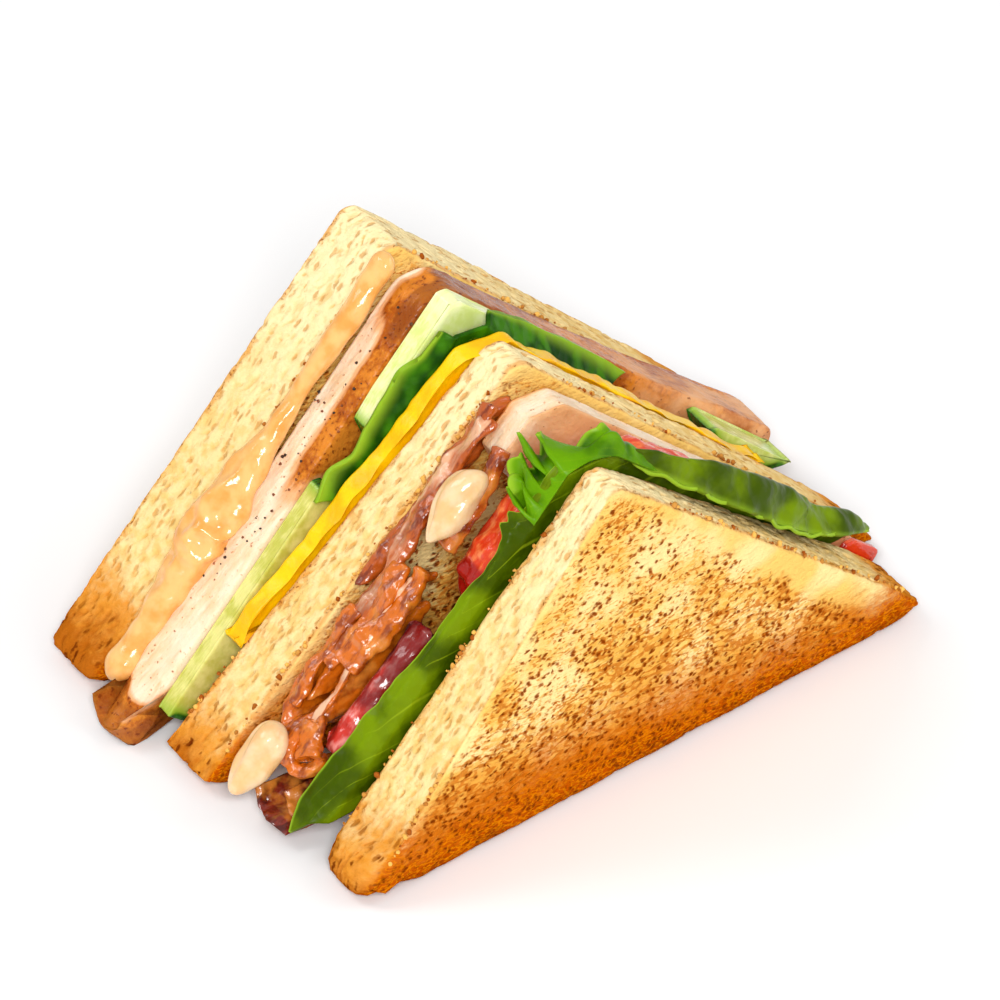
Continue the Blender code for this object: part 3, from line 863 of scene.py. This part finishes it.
def cucumber_finish(name):
    """Dark skin, a bright band under it and pale watery flesh."""
    watery, seedy = CUCUMBER_FLESH[name.split("_")[0]]
    gherkin = moist(name, 0.22, 0.5, 0.15, 2.0, 3.0, 1.0)
    skin, cloud = gherkin.field("skin"), gherkin.noise(3.5, 3.0)
    streak = gherkin.noise(0.8, 3.0, gherkin.stretched(0.5, 2.0, 0.5))
    flesh = gherkin.layered(watery, (seedy, gherkin.step(cloud * 0.7 + streak * 0.3, 0.38, 0.62)))
    flesh = gherkin.blend(colour("8DB52C"), flesh, gherkin.step(skin, 0.9, 3.2))
    dark = gherkin.layered("2F7414", ("0F420C", gherkin.step(streak, 0.4, 0.62)))
    coat = gherkin.blend(dark, flesh, gherkin.step(skin, 0.9, 1.5))
    return gherkin.wear(Base_Color=coat, Normal=gherkin.bump(streak, 0.2, 0.5))


TOMATO_REDS = {"upper": ("E4401A", "FF9450", "B0180C"), "lower": ("CE3428", "F2948A", "5E0A14"),
               "right": ("E23A14", "EE6432", "B01C10")}


def tomato_finish(name):
    """Wet red flesh with paler veins under a deeper skin, and darker higher up on the lower slice."""
    deep, pale, skin_red = TOMATO_REDS[name.split("_")[0]]
    ripe = moist(name, 0.16, 0.6, 0.15, 4.0, 1.0, 0.5)
    skin, cloud = ripe.field("skin"), ripe.noise(3.0, 4.0, rough=0.6)
    vein = ripe.noise(1.2, 3.0, ripe.stretched(0.6, 1.5, 0.6))
    shade = ripe.field("up") * (0.7 if name.startswith("lower") else 0.0) - 0.3
    dusk = ripe.step(ripe.noise(5.0, 2.0) + shade, 0.40, 0.62)
    flesh = ripe.layered(deep, (pale, ripe.step(vein * 0.6 + cloud * 0.4, 0.45, 0.68)),
                         (skin_red, dusk * 0.75))
    coat = ripe.blend(colour(skin_red), flesh, ripe.step(skin, 0.2, 1.0))
    return ripe.wear(Base_Color=coat, Normal=ripe.bump(vein * 0.6 + cloud * 0.4, 0.4, 0.6))


def round_slice(name, node, slot, seed, finish, rounding, unevenness, bulge=0.0):
    """A round slice with a skin field, whose right cut swells out by bulge near its top."""
    wrap = slab(node, 0.5 / TIGHT, 0.3, even(14), even(12), lambda line: 0 * line[:, 0] + rounding)
    grid, line = wrap["grid"], wrap["line"]
    arc = on_arc(line, depth(wrap["front"], *line.T))
    skin = nearest(grid, line[arc]) if arc.any() else 0 * grid[..., 0] + 9.0
    swell = smooth_noise(grid, 4.0, seed) * 0.4 + smooth_noise(grid, 1.5, seed + 1) * 0.25
    top = grid[..., 2].max()
    high_up = ramp(grid[..., 2], top - 18, top - 12) * ramp(grid[..., 2], top - 0.5, top - 4)
    right_cut = ramp(grid[..., 0], 6.0, 10.0) * high_up
    sunk = wrap["rim"] * (0.35 * (1 - unevenness * swell) - bulge * right_cut) + 0.04
    grid = grid - wrap["normal"] * sunk[..., None]
    up = (grid[..., 2] - grid[..., 2].min()) / np.ptp(grid[..., 2])
    piece = closed_piece(name, [grid], {"skin": [skin], "up": [up]}, finish(name + "_finish"))
    return stand_in(piece, slot, node)


for part in ("left", "top", "right"):
    round_slice(part + "_cucumber", "cucumber_" + part, "cucumber", 50, cucumber_finish, 0.35, 1.0)
for part, bulge in (("upper", 2.6), ("lower", 0.0), ("right", -1.4)):
    round_slice(part + "_tomato", "tomato_" + part, "tomato", 60, tomato_finish, 1.9, 4.5, bulge)

# %% [markdown]
# ## Lettuce
# Leaves are thin, so each is an open sheet with a modifier for its thickness. The front leaf
# lies behind the front toast, curls back over the filling on the left and stands up and
# falls forward on the right. Ripples grow towards the rim, and veins branch out to it.


# %% Lettuce finish
def lettuce_finish(name, dark, light):
    """Green that lightens at the veins and the rim, with painted highlight where it swells into domes and
    crests.
    """
    leaf = moist(name, 0.32, 0.08, 0.05, 1.0, 3.0, 0.6)
    vein, rim, dome_highlight = leaf.field("vein"), leaf.field("rim"), leaf.field("dome_highlight")
    cloud = leaf.noise(4.5, 3.0)
    cell = leaf.cells(1.6)
    # the share of light green that follows the domes is painted highlight
    coat = leaf.layered(dark, (light, leaf.step(cloud * 0.6 + dome_highlight * 0.4, 0.25, 0.6)),
                        ("9DB41C", leaf.step(vein, 0.55, 1.0) * 0.5),
                        ("9CC22E", leaf.step(rim, 0.9, 1.0) * 0.8))
    relief = leaf.bump(cell * 0.5 + cloud * 0.5, 0.5, 0.6)
    return leaf.wear(Base_Color=coat, Normal=relief)


def leaf_fields(u, v, veins, seed, dome_highlight):
    """Vein strength and nearness to the rim, for leaf coordinates u (out) and v (along).

    The last argument is how far each point has swelled up between its veins, from 0 to 1, and the
    finish lightens it there as painted highlight.
    """
    bend = 0.12 * smooth_noise(xyz(u * 9.0, v * 9.0, 0.0), 2.0, seed)
    branch = np.abs(np.mod((v + 0.25 * u + bend) * veins, 1.0) - 0.5) * 2
    return {"vein": ramp(branch, 0.78, 1.0) * (1 - 0.5 * u), "rim": u, "dome_highlight": dome_highlight + 0 * u}


def blisters(grid, size, seed):
    """Domes from 0 to 1 between the veins of a leaf, some fuller than others."""
    gap, tag = bubbles(grid + 0.8 * smooth_noise(grid, size, seed + 1)[..., None], size, seed)
    return ramp(0.8 - gap, 0.0, 0.7) * (0.4 + 0.6 * tag)


FRONT_FACE, FRONT_BACK = (face_plane("toast_front", side) for side in (-1, 1))
BEHIND_TOAST = 1.1  # from the front toast's back to the middle of the leaf
LEAF_DEPTH, LEAF_TOP = -23.3, 51.9
LEFT_SHARE, RIGHT_SHARE = 0.22, 0.55  # where its left rim ends and its right rim starts


def front_leaf(u, v):
    """The front leaf: u runs from its left rim over the filling to its right rim, v up it.

    Also says how far out each point is on the left rim and on the right one, from 0 to 1.
    """
    share = (0.05 + 0.16 * np.clip(u / RIGHT_SHARE, 0, 1)) * (1 - v) + 0.97 * v
    z = LEAF_TOP * share
    x_left, x_right = (on_cut(side, share, LEAF_DEPTH + 0 * z, 0.0)[..., 0] for side in (0, 1))
    # the curled left rim, which lifts square to the cut and turns inwards, with a lobe near its top
    out = np.clip(1 - u / LEFT_SHARE, 0, 1)
    lobe = (2.2 + 0.9 * np.sin(190.0 * share)) * hump(share, 0.82, 0.028)
    curl = (0.9 + 5.6 * (1 - share) ** 2.0 + lobe) * out * ramp(v, -0.05, 0.10) ** 0.5
    lift = 2.0 * np.sin(np.minimum(out * 2.2, 1) * math.pi / 2)
    foot = on_cut(0, share, depth(FRONT_BACK, x_left, z) + BEHIND_TOAST, 0.0)
    left = foot + xyz(-0.70 * lift, curl, 0.71 * lift)
    # the hooded right rim, which stands up from the cut and falls forward over the toast
    over = np.clip((u - RIGHT_SHARE) / (1 - RIGHT_SHARE), 0, 1)
    place = np.clip((share - 0.10) / 0.84, 0, 1)
    hood = np.sin(math.pi * place**1.3) ** 0.6
    rise = (1.6 + 4.0 * hood * np.sin(math.pi * np.minimum(over * 1.05, 1)) ** 0.8) * np.minimum(over * 6, 1)
    rise = rise + 2.4 * over * ramp(place, 0.35, 0.05)
    sheet_y = depth(FRONT_BACK, x_right, z) + BEHIND_TOAST
    front_y = depth(FRONT_FACE, x_right, z)
    right = on_cut(1, share, sheet_y - (sheet_y - front_y - 1.6 - 2.4 * place) * over * hood, rise)
    # the flat part between them
    inner = np.clip((u - LEFT_SHARE) / (RIGHT_SHARE - LEFT_SHARE), 0, 1)
    x = x_left + (x_right - x_left) * inner
    middle = xyz(x, depth(FRONT_BACK, x, z) + BEHIND_TOAST, z)
    on_left, on_right = (u < LEFT_SHARE)[..., None], (u > RIGHT_SHARE)[..., None]
    return np.where(on_left, left, np.where(on_right, right, middle)), out, over


def leaf_grid(across, up, first=0.0):
    """The two leaf coordinates on an even grid: from first to 1 across, and from 0 to 1 up."""
    return np.meshgrid(np.linspace(first, 1, even(across)), np.linspace(0, 1, even(up)))


# %% Front leaf
u, v = leaf_grid(190, 170)
grid, out, over = front_leaf(u, v)
free = np.maximum(out, over)
normal = grid_normals(grid, False)
wave = 0.55 * smooth_noise(grid, 5.5, 71) + 0.35 * smooth_noise(grid, 2.2, 72)
domes = blisters(grid, 8.5, 68)
lifted = 1.4 * wave * ramp(free, 0.1, 0.9) + 1.1 * domes * ramp(over, 0.05, 0.3) * ramp(over, 1.05, 0.8)
grid = grid + normal * lifted[..., None]
# its domes are raised and also painted lighter, as painted highlight
piece = sheet_piece("front_lettuce", grid, 0.55, leaf_fields(free, v, 9.0, 73, domes),
                    lettuce_finish("front_lettuce_finish", "3C5000", "708A04"))
stand_in(piece, "lettuce", "lettuce_front")

# %% [markdown]
# The frill is a strip that follows the top of the front leaf: up the left cut, over the point and
# down the right one. A sine wave, bent by a slower one and by noise, crinkles it, and another
# cuts teeth in its rim.

# %% Frill over the point
POINT, LEFT_END, RIGHT_END = 0.985, 0.85, 0.74  # shares of the way up the cuts
FRILL_DEPTH = -24.8
u, v = leaf_grid(340, 80)
wrinkle = smooth_noise(xyz(9 * u, 2 * v, 0.0), 0.8, 64)
curl = np.sin(58.0 * u + 1.8 * v + 1.6 * np.sin(11.0 * u) + 1.5 * wrinkle)
teeth = np.abs(np.sin(75.0 * u + 1.0 + 2.5 * wrinkle)) * ramp(v, 0.5, 1.0) * (1 - 0.9 * ramp(u, 0.5, 0.6))
width = 4.4 + 3.0 * ramp(u, 0.05, 0.22) * ramp(u, 0.52, 0.38) - 1.4 * ramp(u, 0.5, 0.62)
width = width + 1.6 * ramp(u, 0.8, 0.92)
calm = 1 - 0.95 * ramp(u, 0.5, 0.62)
reach = FRILL_DEPTH + (width + (0.9 * curl + 1.0 * wrinkle) * calm + 1.5 * teeth) * v
arch = 1.0 * np.sin(math.pi * v) * ramp(u, 0.9, 0.5)
proud = np.maximum(1.4 + (1.5 * curl * calm + 1.2 * wrinkle + 0.7) * v**1.1 + arch, 0.8)
slide = 0.018 * np.cos(58.0 * u) * v * calm
left = on_cut(0, LEFT_END + (POINT - LEFT_END) * np.minimum(u / 0.5, 1) + slide, reach, proud)
right = on_cut(1, POINT + (RIGHT_END - POINT) * np.maximum(u / 0.5 - 1, 0) + slide, reach, proud)
blend = ramp(u, 0.44, 0.56)[..., None]
grid = left * (1 - blend) + right * blend
# the crests of the crinkles are painted lighter through the dome field: painted highlight
domes = 0.5 + 0.5 * curl * v
piece = sheet_piece("lettuce_frill", grid, 0.5, leaf_fields(v, u, 13.0, 75, domes),
                    lettuce_finish("lettuce_frill_finish", "225200", "629604"))
stand_in(piece, "lettuce", "lettuce_ruffle")

# %% [markdown]
# The back leaf lies flat on the cheese between the two cuts. Only its two ends show, and there
# it folds over, out of the cut and towards the back.

# %% Back leaf
BEHIND_CHEESE = 0.95
low, high = box_of("lettuce_back")
u, v = leaf_grid(260, 110, -1.0)
z = low[2] + 0.4 + (high[2] - low[2] - 0.8) * v
cheese_back = face_plane("cheese", 1)
y = depth(cheese_back, 0 * z, z) + BEHIND_CHEESE
share = up_share(y, z)
fold = ramp(np.abs(u), 0.78, 1.0)
crease = smooth_noise(xyz(8 * u, 9 * v, 0.0), 1.3, 79)
proud = fold * (1.3 + 0.5 * crease)
y_edge = y + fold * (1.9 + 0.7 * crease)
edges = [on_cut(side, share, y_edge, proud) for side in (0, 1)]
inner = ((u + 1) / 2)[..., None]
grid = edges[0] * (1 - inner) + edges[1] * inner
hug = ramp(np.abs(u), 0.6, 0.8)
flat_y = depth(cheese_back, grid[..., 0], grid[..., 2]) + BEHIND_CHEESE
grid[..., 1] = flat_y * (1 - hug) + grid[..., 1] * hug
# these domes have no relief: they only paint lighter patches, as painted highlight
domes = blisters(grid * [1, 1, 0.5], 2.4, 65)
piece = sheet_piece("back_lettuce", grid, 0.7, leaf_fields(np.abs(u), v, 11.0, 77, domes),
                    lettuce_finish("back_lettuce_finish", "123C02", "3C7806"))
stand_in(piece, "lettuce", "lettuce_back")

# %% [markdown]
# ## Bacon and sauce
# Bacon is a ribbon folded on itself and fried hard: its path is a smooth curve through a few
# points on the left cut, and its section is a long thin oval running inwards. The sauce is
# the same idea with a round section, so one tube maker does both.


# %% Tubes along a path
def through(points, count):
    """A smooth curve through rows of numbers, by the Catmull-Rom rule, at even shares."""
    points = np.asarray(points, float)
    padded = np.vstack([points[:1], points, points[-1:]])
    place = np.linspace(0, len(points) - 1 - 1e-6, count)
    index = place.astype(int)
    t = (place - index)[:, None]
    before, here, after, beyond = (padded[index + k] for k in range(4))
    return 0.5 * (2 * here + (after - before) * t + (2 * before - 5 * here + 4 * after - beyond) * t**2
                  + (3 * here - before - 3 * after + beyond) * t**3)


def round_turn(columns):
    """The angles of a tube's columns, as one row."""
    return np.linspace(0, 2 * math.pi, columns, endpoint=False)[None, :]


def tube(centre, wide, tall, columns, power=1.0):
    """A closed tube: centre + wide cos a + tall sin a, squared off as power goes below 1.

    centre, wide and tall are rows of vectors along the path, and a goes once round.
    """
    angle = round_turn(columns)
    across, over = (np.sign(f(angle)) * np.abs(f(angle)) ** power for f in (np.cos, np.sin))
    return centre[:, None] + wide[:, None] * across[:, :, None] + tall[:, None] * over[:, :, None]


def closing(count, ends):
    """Shares that grow from 0 and shrink to 0 over the first and last few rows of a path."""
    place = np.arange(count) / (count - 1)
    near = np.minimum(place, 1 - place) / ends
    return np.sqrt(np.clip(near * (2 - near), 0.0016, 1.0)) * (near < 1) + (near >= 1)


# %% Bacon
def bacon_finish(name, lean, dark, fatty):
    """Caramel and mahogany streaks with a pale fat line, under a shiny glaze."""
    rasher = Finish(name, Roughness=0.2, Specular_IOR_Level=0.6, Coat_Weight=0.35, Coat_Roughness=0.1)
    streak = rasher.noise(1.8, 4.0, rasher.stretched(0.5, 1.4, 0.5), rough=0.6)
    cloud = rasher.noise(4.0, 3.0)
    fat = rasher.field("fat")
    coat = rasher.layered(lean, (dark, rasher.step(streak, 0.45, 0.62)),
                          ("E08A32", rasher.step(cloud, 0.5, 0.66) * 0.7),
                          (fatty, rasher.step(fat + (streak - 0.5) * 0.6, 0.6, 0.9) * 0.9))
    return rasher.wear(Base_Color=coat, Normal=rasher.bump(streak, 0.5, 0.7))


# Each strand is: how fat it is, from 0 lean to 1 pale, half its thickness, half its width, and its
# points. With no half width it stands on edge, and a point is (share up its solid, share across
# it, how far it runs inwards). With one it lies flat on the cut, and its middle is the pale part.
# Shares below 0 or above 1 run past the solid, because the folds hang over their neighbours.
STRANDS = {
    "bacon_upper": [
        (0.1, 1.2, 0.0, ((0.95, 0.84, 4.0), (0.71, 0.90, 7.0), (0.46, 0.88, 6.5), (0.10, 0.84, 5.0),
                         (-0.30, 0.86, 5.0))),
        (0.75, 0.8, 1.9, ((0.93, 0.62), (0.72, 0.60), (0.45, 0.62), (0.15, 0.50), (-0.15, 0.35),
                          (-0.42, 0.20))),
        (0.0, 0.8, 1.3, ((0.97, 0.75), (0.84, 0.66), (0.70, 0.70))),
        (0.15, 1.2, 1.7, ((0.86, -0.10), (0.62, -0.30), (0.40, -0.42), (0.20, -0.36))),
    ],
    "bacon_lower": [
        (0.1, 1.25, 0.0, ((0.95, 0.40, 9.0), (0.80, 0.72, 9.0), (0.49, 0.86, 9.0), (0.19, 0.80, 11.0),
                          (0.06, 0.51, 11.0), (0.19, 0.22, 11.0), (0.49, 0.22, 11.0), (0.70, 0.40, 11.0),
                          (0.52, 0.54, 11.0), (0.26, 0.52, 11.0))),
        (0.9, 0.5, 0.8, ((1.10, 0.12), (0.80, 0.14), (0.45, 0.04), (0.05, -0.02))),
        (0.4, 0.8, 1.2, ((0.80, 0.66), (0.50, 0.70), (0.20, 0.60))),
        (0.3, 1.0, 1.2, ((0.23, -0.20), (0.12, 0.15), (-0.02, 0.05), (-0.05, -0.32), (0.08, -0.52))),
        (0.5, 1.3, 2.0, ((0.20, 0.05), (0.10, -0.15), (0.02, -0.35))),
        (0.1, 0.9, 1.6, ((1.12, 0.48), (0.92, 0.32), (0.65, 0.39), (0.47, 0.57))),
        (0.0, 1.2, 1.8, ((1.16, 0.10), (0.95, -0.04), (0.72, 0.06), (0.52, 0.16))),
    ],
    "bacon_end": [
        (0.0, 0.55, 0.0, ((0.72, 0.86, 14.0), (0.40, 0.62, 15.0), (0.25, 0.32, 15.0), (0.2, 0.05, 13.0))),
        (0.2, 0.5, 0.0, ((0.95, 0.50, 10.0), (0.70, 0.24, 12.0), (0.55, -0.05, 12.0))),
    ],
}
BACON_COLOURS = {"bacon_upper": ("B9561A", "7C2D0C", "EDB58C"), "bacon_lower": ("D2690E", "96400A", "F0C09A"),
                 "bacon_end": ("7E2413", "4E120A", "A8402A")}
SQUARED = 0.8  # how far a strand's oval section is squared off


def strand(node, half_thick, half_wide, points, seed):
    """A folded ribbon that follows points on the left cut, on edge or lying flat on it."""
    low, high = box_of(node)
    rows = even(40 * (len(points) - 1))
    path = through(points, rows)
    z, y = low[2] + (high[2] - low[2]) * path[:, 0], low[1] + (high[1] - low[1]) * path[:, 1]
    share = up_share(y, z)
    wander = smooth_noise(xyz(z, y, 0.0), 2.6, seed)
    edge = on_cut(0, share, y, 0.5 + 0.7 * wander)
    along = np.gradient(edge, axis=0)
    taper = closing(rows, 0.05)
    if half_wide:
        square = square_to_cut(0, share, y)
        wide = np.cross(square, along)
        wide /= np.linalg.norm(wide, axis=1)[:, None]
        tilt = 0.6 * smooth_noise(xyz(z, y, 5.0), 3.0, seed + 3)[:, None]
        wide = wide + square * tilt
        grid = tube(edge + 0.5 * square, wide * (half_wide * taper * (1 + 0.2 * wander))[:, None],
                    square * (half_thick * taper)[:, None], even(60), SQUARED)
    else:
        inward = np.array([[1.0, 0.0, 0.0]])
        side = np.cross(along, inward)
        side /= np.linalg.norm(side, axis=1)[:, None]
        half = (path[:, 2] / 2 * taper)[:, None]
        thick = (half_thick * taper * (1 + 0.25 * wander))[:, None]
        grid = tube(edge + inward * half, inward * half, side * thick, even(60), SQUARED)
    lump = 0.35 * smooth_noise(grid, 2.0, seed + 1) + 0.22 * smooth_noise(grid, 0.9, seed + 2)
    return swollen(grid, lump - 0.1)


for number, (node, strands) in enumerate(STRANDS.items()):
    grids, fats = [], []
    for index, (fat, half, wide, points) in enumerate(strands):
        grid = strand(node, half, wide, points, 80 + 10 * number + index)
        middle = ramp(np.abs(np.cos(round_turn(grid.shape[1]))), 0.9, 0.45) if wide else 1.0
        fats.append(fat * middle + 0.25 * smooth_noise(grid * [0.5, 1, 0.5], 2.4, 89 + number))
        grids.append(grid)
    piece = closed_piece(node.replace("bacon_", "") + "_bacon", grids, {"fat": fats},
                         bacon_finish(node + "_finish", *BACON_COLOURS[node]))
    stand_in(piece, "crisp_bacon", node)


# %% Sauce
def sauce_finish(name, pale, rich):
    """Smooth pinkish orange, thick and glossy."""
    dressing = moist(name, 0.14, 0.5, 0.15, 3.0, 1.5, 0.7)
    coat = dressing.layered(pale, (rich, dressing.step(dressing.noise(3.0, 3.0), 0.35, 0.68)))
    return dressing.wear(Base_Color=coat, Normal=dressing.bump(dressing.noise(1.5, 2.0), 0.3, 0.4))


# %% Ribbon of sauce
DEPTHWAYS = np.array([[0.0, 1.0, 0.0]])
low, high = box_of("sauce_back")
rise = np.linspace(0, 1, even(260))
z = low[2] + 3.0 + (high[2] - low[2] - 3.6) * rise
turkey_plane, bread_plane = face_plane("turkey_back", 1), face_plane("toast_back", -1)
x = on_cut(0, z / STACK_TOP[2], STACK_DEPTH[2] + 0 * z, 0.0)[:, 0]
y = (depth(turkey_plane, x, z) + depth(bread_plane, x, z)) / 2 - 0.3
swell, drip = hump(rise, 0.36, 0.14), hump(rise, 0.045, 0.04)
spot = xyz(0.0, 0.0, z)
bulge = smooth_noise(spot, 6.0, 91)
half = (1.9 + 1.6 * swell + 0.5 * bulge + 0.8 * drip) * closing(len(rise), 0.03)
tall = (1.5 + 1.0 * swell + 0.35 * bulge + 0.5 * drip) * closing(len(rise), 0.03)
y = y + 0.4 * smooth_noise(spot, 7.0, 92)
centre = on_cut(0, up_share(y, z), y, 0.7)
square = square_to_cut(0, z / STACK_TOP[2], y)
grid = tube(centre, DEPTHWAYS * half[:, None], square * tall[:, None], even(64))
ridge = 1 - 2 * np.abs(smooth_noise(grid, 2.8, 94))
swell = swell[:, None]
lump = 0.9 * smooth_noise(grid, 3.6, 93) * (0.45 + 0.55 * swell) + 0.7 * ridge * (0.15 + 0.85 * swell)
grid = swollen(grid, (lump - 0.1) * closing(len(rise), 0.06)[:, None] ** 2)
grid[..., 2] = np.clip(grid[..., 2], 0.1, high[2])
piece = closed_piece("back_sauce", [grid], {}, sauce_finish("back_sauce_finish", "F5BF76", "E9A24E"))
stand_in(piece, "cocktail_sauce", "sauce_back")


# %% Two drops of sauce
def drop(part, half_long, shift, seed):
    """A drop that lies along the left cut: a ball drawn out upwards, fuller at its top, with two creases."""
    low, high = box_of("sauce_drop_" + part)
    middle = (low + high) / 2 + np.array(shift)
    slope = np.array([CUTS[0][1][1], 0.0, 1.0])
    slope /= np.linalg.norm(slope)
    square = np.array([-slope[2], 0.0, slope[0]])
    turn = np.linspace(0.03, math.pi - 0.03, even(70))
    fat = 1.0 - 0.28 * np.cos(turn)
    centre = middle + slope * (-np.cos(turn) * half_long)[:, None]
    ring = (np.sin(turn) * fat)[:, None]
    grid = tube(centre, DEPTHWAYS * 3.0 * ring, square * 2.6 * ring, even(64))
    angle = round_turn(grid.shape[1]) - math.pi / 2
    creases = sum(hump(angle, place + bend * np.cos(turn)[:, None], 0.32)
                  for place, bend in ((-0.55, 0.35), (0.7, -0.45)))
    lump = 0.8 * smooth_noise(grid, 3.6, seed) - 0.45 * creases * np.sin(turn)[:, None] ** 2
    piece = closed_piece(part + "_sauce_drop", [swollen(grid, lump - 0.1)], {},
                         sauce_finish(part + "_sauce_drop_finish", "F2CFA2", "ECBC80"))
    stand_in(piece, "cocktail_sauce", "sauce_drop_" + part)


drop("upper", 6.3, (0.6, -2.8, 0.0), 96)
drop("lower", 5.8, (2.2, -2.8, 0.0), 97)

# %% [markdown]
# ## Crumbs and pepper
# Small loose things are small lumps, joined into one piece per kind: balls whose radius wanders.
# Toast sheds crumbs along the edges where the knife broke the crust, and turkey carries cracked
# pepper.


# %% Loose bits
def lumps(name, slot, spots, radii, seed, fields, finish):
    """Many small lumps in one piece. Each is a ball of that radius with uneven sides."""
    over, turn = np.linspace(0.3, math.pi - 0.3, 5)[:, None], round_turn(8)
    ball = xyz(np.sin(over) * np.cos(turn), np.sin(over) * np.sin(turn), np.cos(over))
    grids = []
    for index, (spot, radius) in enumerate(zip(spots, radii)):
        uneven = 1 + 0.55 * smooth_noise(ball + index * 3.7, 0.8, seed)
        grids.append(spot + ball * (radius * uneven)[..., None])
    values = {key: [value + 0 * grid[..., 0] for value, grid in zip(row, grids)]
              for key, row in fields.items()}
    return stand_in(closed_piece(name, grids, values, finish), slot)


def edge_spots(node, face, side, low, high, count, seed):
    """Places along the edge where a toast's face (-1 front, 1 back) meets the cut on one side."""
    rng = np.random.default_rng(seed)
    share = low + (high - low) * rng.random(count)
    layer = TOASTS.index(node)
    foot, slope = CUTS[side][layer]
    z = share * STACK_TOP[layer]
    x = foot + slope * z
    y = depth(face_plane(node, face), x, z) - face * rng.uniform(0.3, 1.1, count)
    sunk = 0.15 + 0.5 * rng.random(count)
    return xyz(x + sunk * (1 if side == 0 else -1), y, z)


# toast, face (-1 front, 1 back), side (0 left, 1 right), from and to as shares of its height, crumbs
EDGES = (("toast_front", -1, 1, 0.10, 0.85, 65), ("toast_front", 1, 0, 0.12, 0.9, 35),
         ("toast_front", -1, 0, 0.12, 0.35, 25), ("toast_middle", -1, 0, 0.12, 0.95, 70),
         ("toast_middle", 1, 0, 0.12, 0.3, 15), ("toast_middle", -1, 1, 0.12, 0.9, 45),
         ("toast_back", -1, 0, 0.12, 0.96, 60), ("toast_back", -1, 1, 0.10, 0.95, 60))
spots = np.vstack([edge_spots(*edge, 200 + number) for number, edge in enumerate(EDGES)])
rng = np.random.default_rng(7)
radii = 0.14 + 0.30 * rng.random(len(spots)) ** 2
crumbs = Finish("crumb_finish", Roughness=0.8, Specular_IOR_Level=0.15)
tan = crumbs.layered("F0B95A", ("A3520E", crumbs.step(crumbs.field("brown"), 0.2, 0.9)))
lumps("toast_crumbs", "toasted_bread", spots, radii, 210, {"brown": rng.random(len(spots))},
      crumbs.wear(Base_Color=tan))

# %% Cracked pepper
PEPPER_FRONT, PEPPER_BACK = 14.0, 20.0
rng = np.random.default_rng(8)
count = 55
y = PEPPER_FRONT + (PEPPER_BACK - PEPPER_FRONT) * rng.random(count)
z = 6.0 + 46.0 * rng.random(count) ** 0.7
spots = on_cut(0, up_share(y, z), y, -0.15)
pepper = Finish("pepper_finish", Roughness=0.5)
speck = pepper.layered("7A3A12", ("2E160A", pepper.step(pepper.field("dark"), 0.3, 0.8)))
lumps("cracked_pepper", "roast_turkey", spots, 0.10 + 0.14 * rng.random(count), 220,
      {"dark": rng.random(count)}, pepper.wear(Base_Color=speck))

# %% [markdown]
# ## Floor, light and camera
# A pale table and a big soft lamp from the upper left, with a weaker one behind and another on the
# right, keep the shadows faint. The long lens flattens the wedge the way food is usually pictured.


# %% Studio
LAMP_AIM = Vector((0.0, 0.0, 0.02))


def area_light(name, place, size, power):
    """A square lamp aimed at the middle of the sandwich: place and size in metres, power in watts."""
    lamp = bpy.data.lights.new(name, "AREA")
    lamp.size, lamp.energy = size, power
    holder = bpy.data.objects.new(name, lamp)
    bpy.context.scene.collection.objects.link(holder)
    holder.location = place
    holder.rotation_euler = (LAMP_AIM - Vector(place)).to_track_quat("-Z", "Y").to_euler()


TABLE_HALF = 3.0  # metres
table_finish = Finish("table_finish", Base_Color=(0.895, 0.895, 0.90, 1.0), Roughness=0.7).material
table_mesh = bpy.data.meshes.new("table")
table_corners = [(x * TABLE_HALF, y * TABLE_HALF, 0.0) for x, y in ((-1, -1), (1, -1), (1, 1), (-1, 1))]
table_mesh.from_pydata(table_corners, [], [(0, 1, 2, 3)])
table_mesh.materials.append(table_finish)
table = bpy.data.objects.new("table", table_mesh)
bpy.context.scene.collection.objects.link(table)
table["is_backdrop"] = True

area_light("key", (-1.0, -1.5, 1.6), 0.7, 43.0)
area_light("rear", (-0.9, 1.1, 1.7), 0.9, 12.0)
area_light("fill", (1.4, -0.6, 1.2), 1.2, 8.0)
world = bpy.data.worlds.new("studio")
world.use_nodes = True
sky = world.node_tree.nodes["Background"].inputs
sky["Color"].default_value = (1.0, 0.995, 0.985, 1.0)
sky["Strength"].default_value = 0.45
bpy.context.scene.world = world
bpy.context.scene.view_settings.view_transform = "Standard"
print("lamps: key, rear, fill")

# %% Camera
AZIMUTH, ELEVATION, ROLL = (math.radians(angle) for angle in (-34.231, 39.741, 0.294))
DISTANCE, AIM = 1.56484, np.array([0.0, 0.0, 0.027])
LENS, SENSOR = 411.0, 36.0
level = math.cos(ELEVATION)
back = np.array([math.sin(AZIMUTH) * level, -math.cos(AZIMUTH) * level, math.sin(ELEVATION)])
right = np.array([math.cos(AZIMUTH), math.sin(AZIMUTH), 0.0])
up = np.cross(back, right)
turned_right = math.cos(ROLL) * right + math.sin(ROLL) * up
turned_up = math.cos(ROLL) * up - math.sin(ROLL) * right
eye = bpy.data.cameras.new("eye")
eye.lens, eye.sensor_width = LENS, SENSOR
eye.clip_end = 20.0
viewer = bpy.data.objects.new("eye", eye)
bpy.context.scene.collection.objects.link(viewer)
viewer.matrix_world = Matrix([[*row] for row in np.vstack([
    np.column_stack([turned_right, turned_up, back, AIM + back * DISTANCE]), [0, 0, 0, 1]])])
bpy.context.scene.camera = viewer
print("camera:", round(DISTANCE, 3), "m away, lens", LENS, "mm")

# %% Size and finish
low, high = (list(corner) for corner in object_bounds())
print("visual box in mm:", [round(v / MM, 1) for v in low + high])
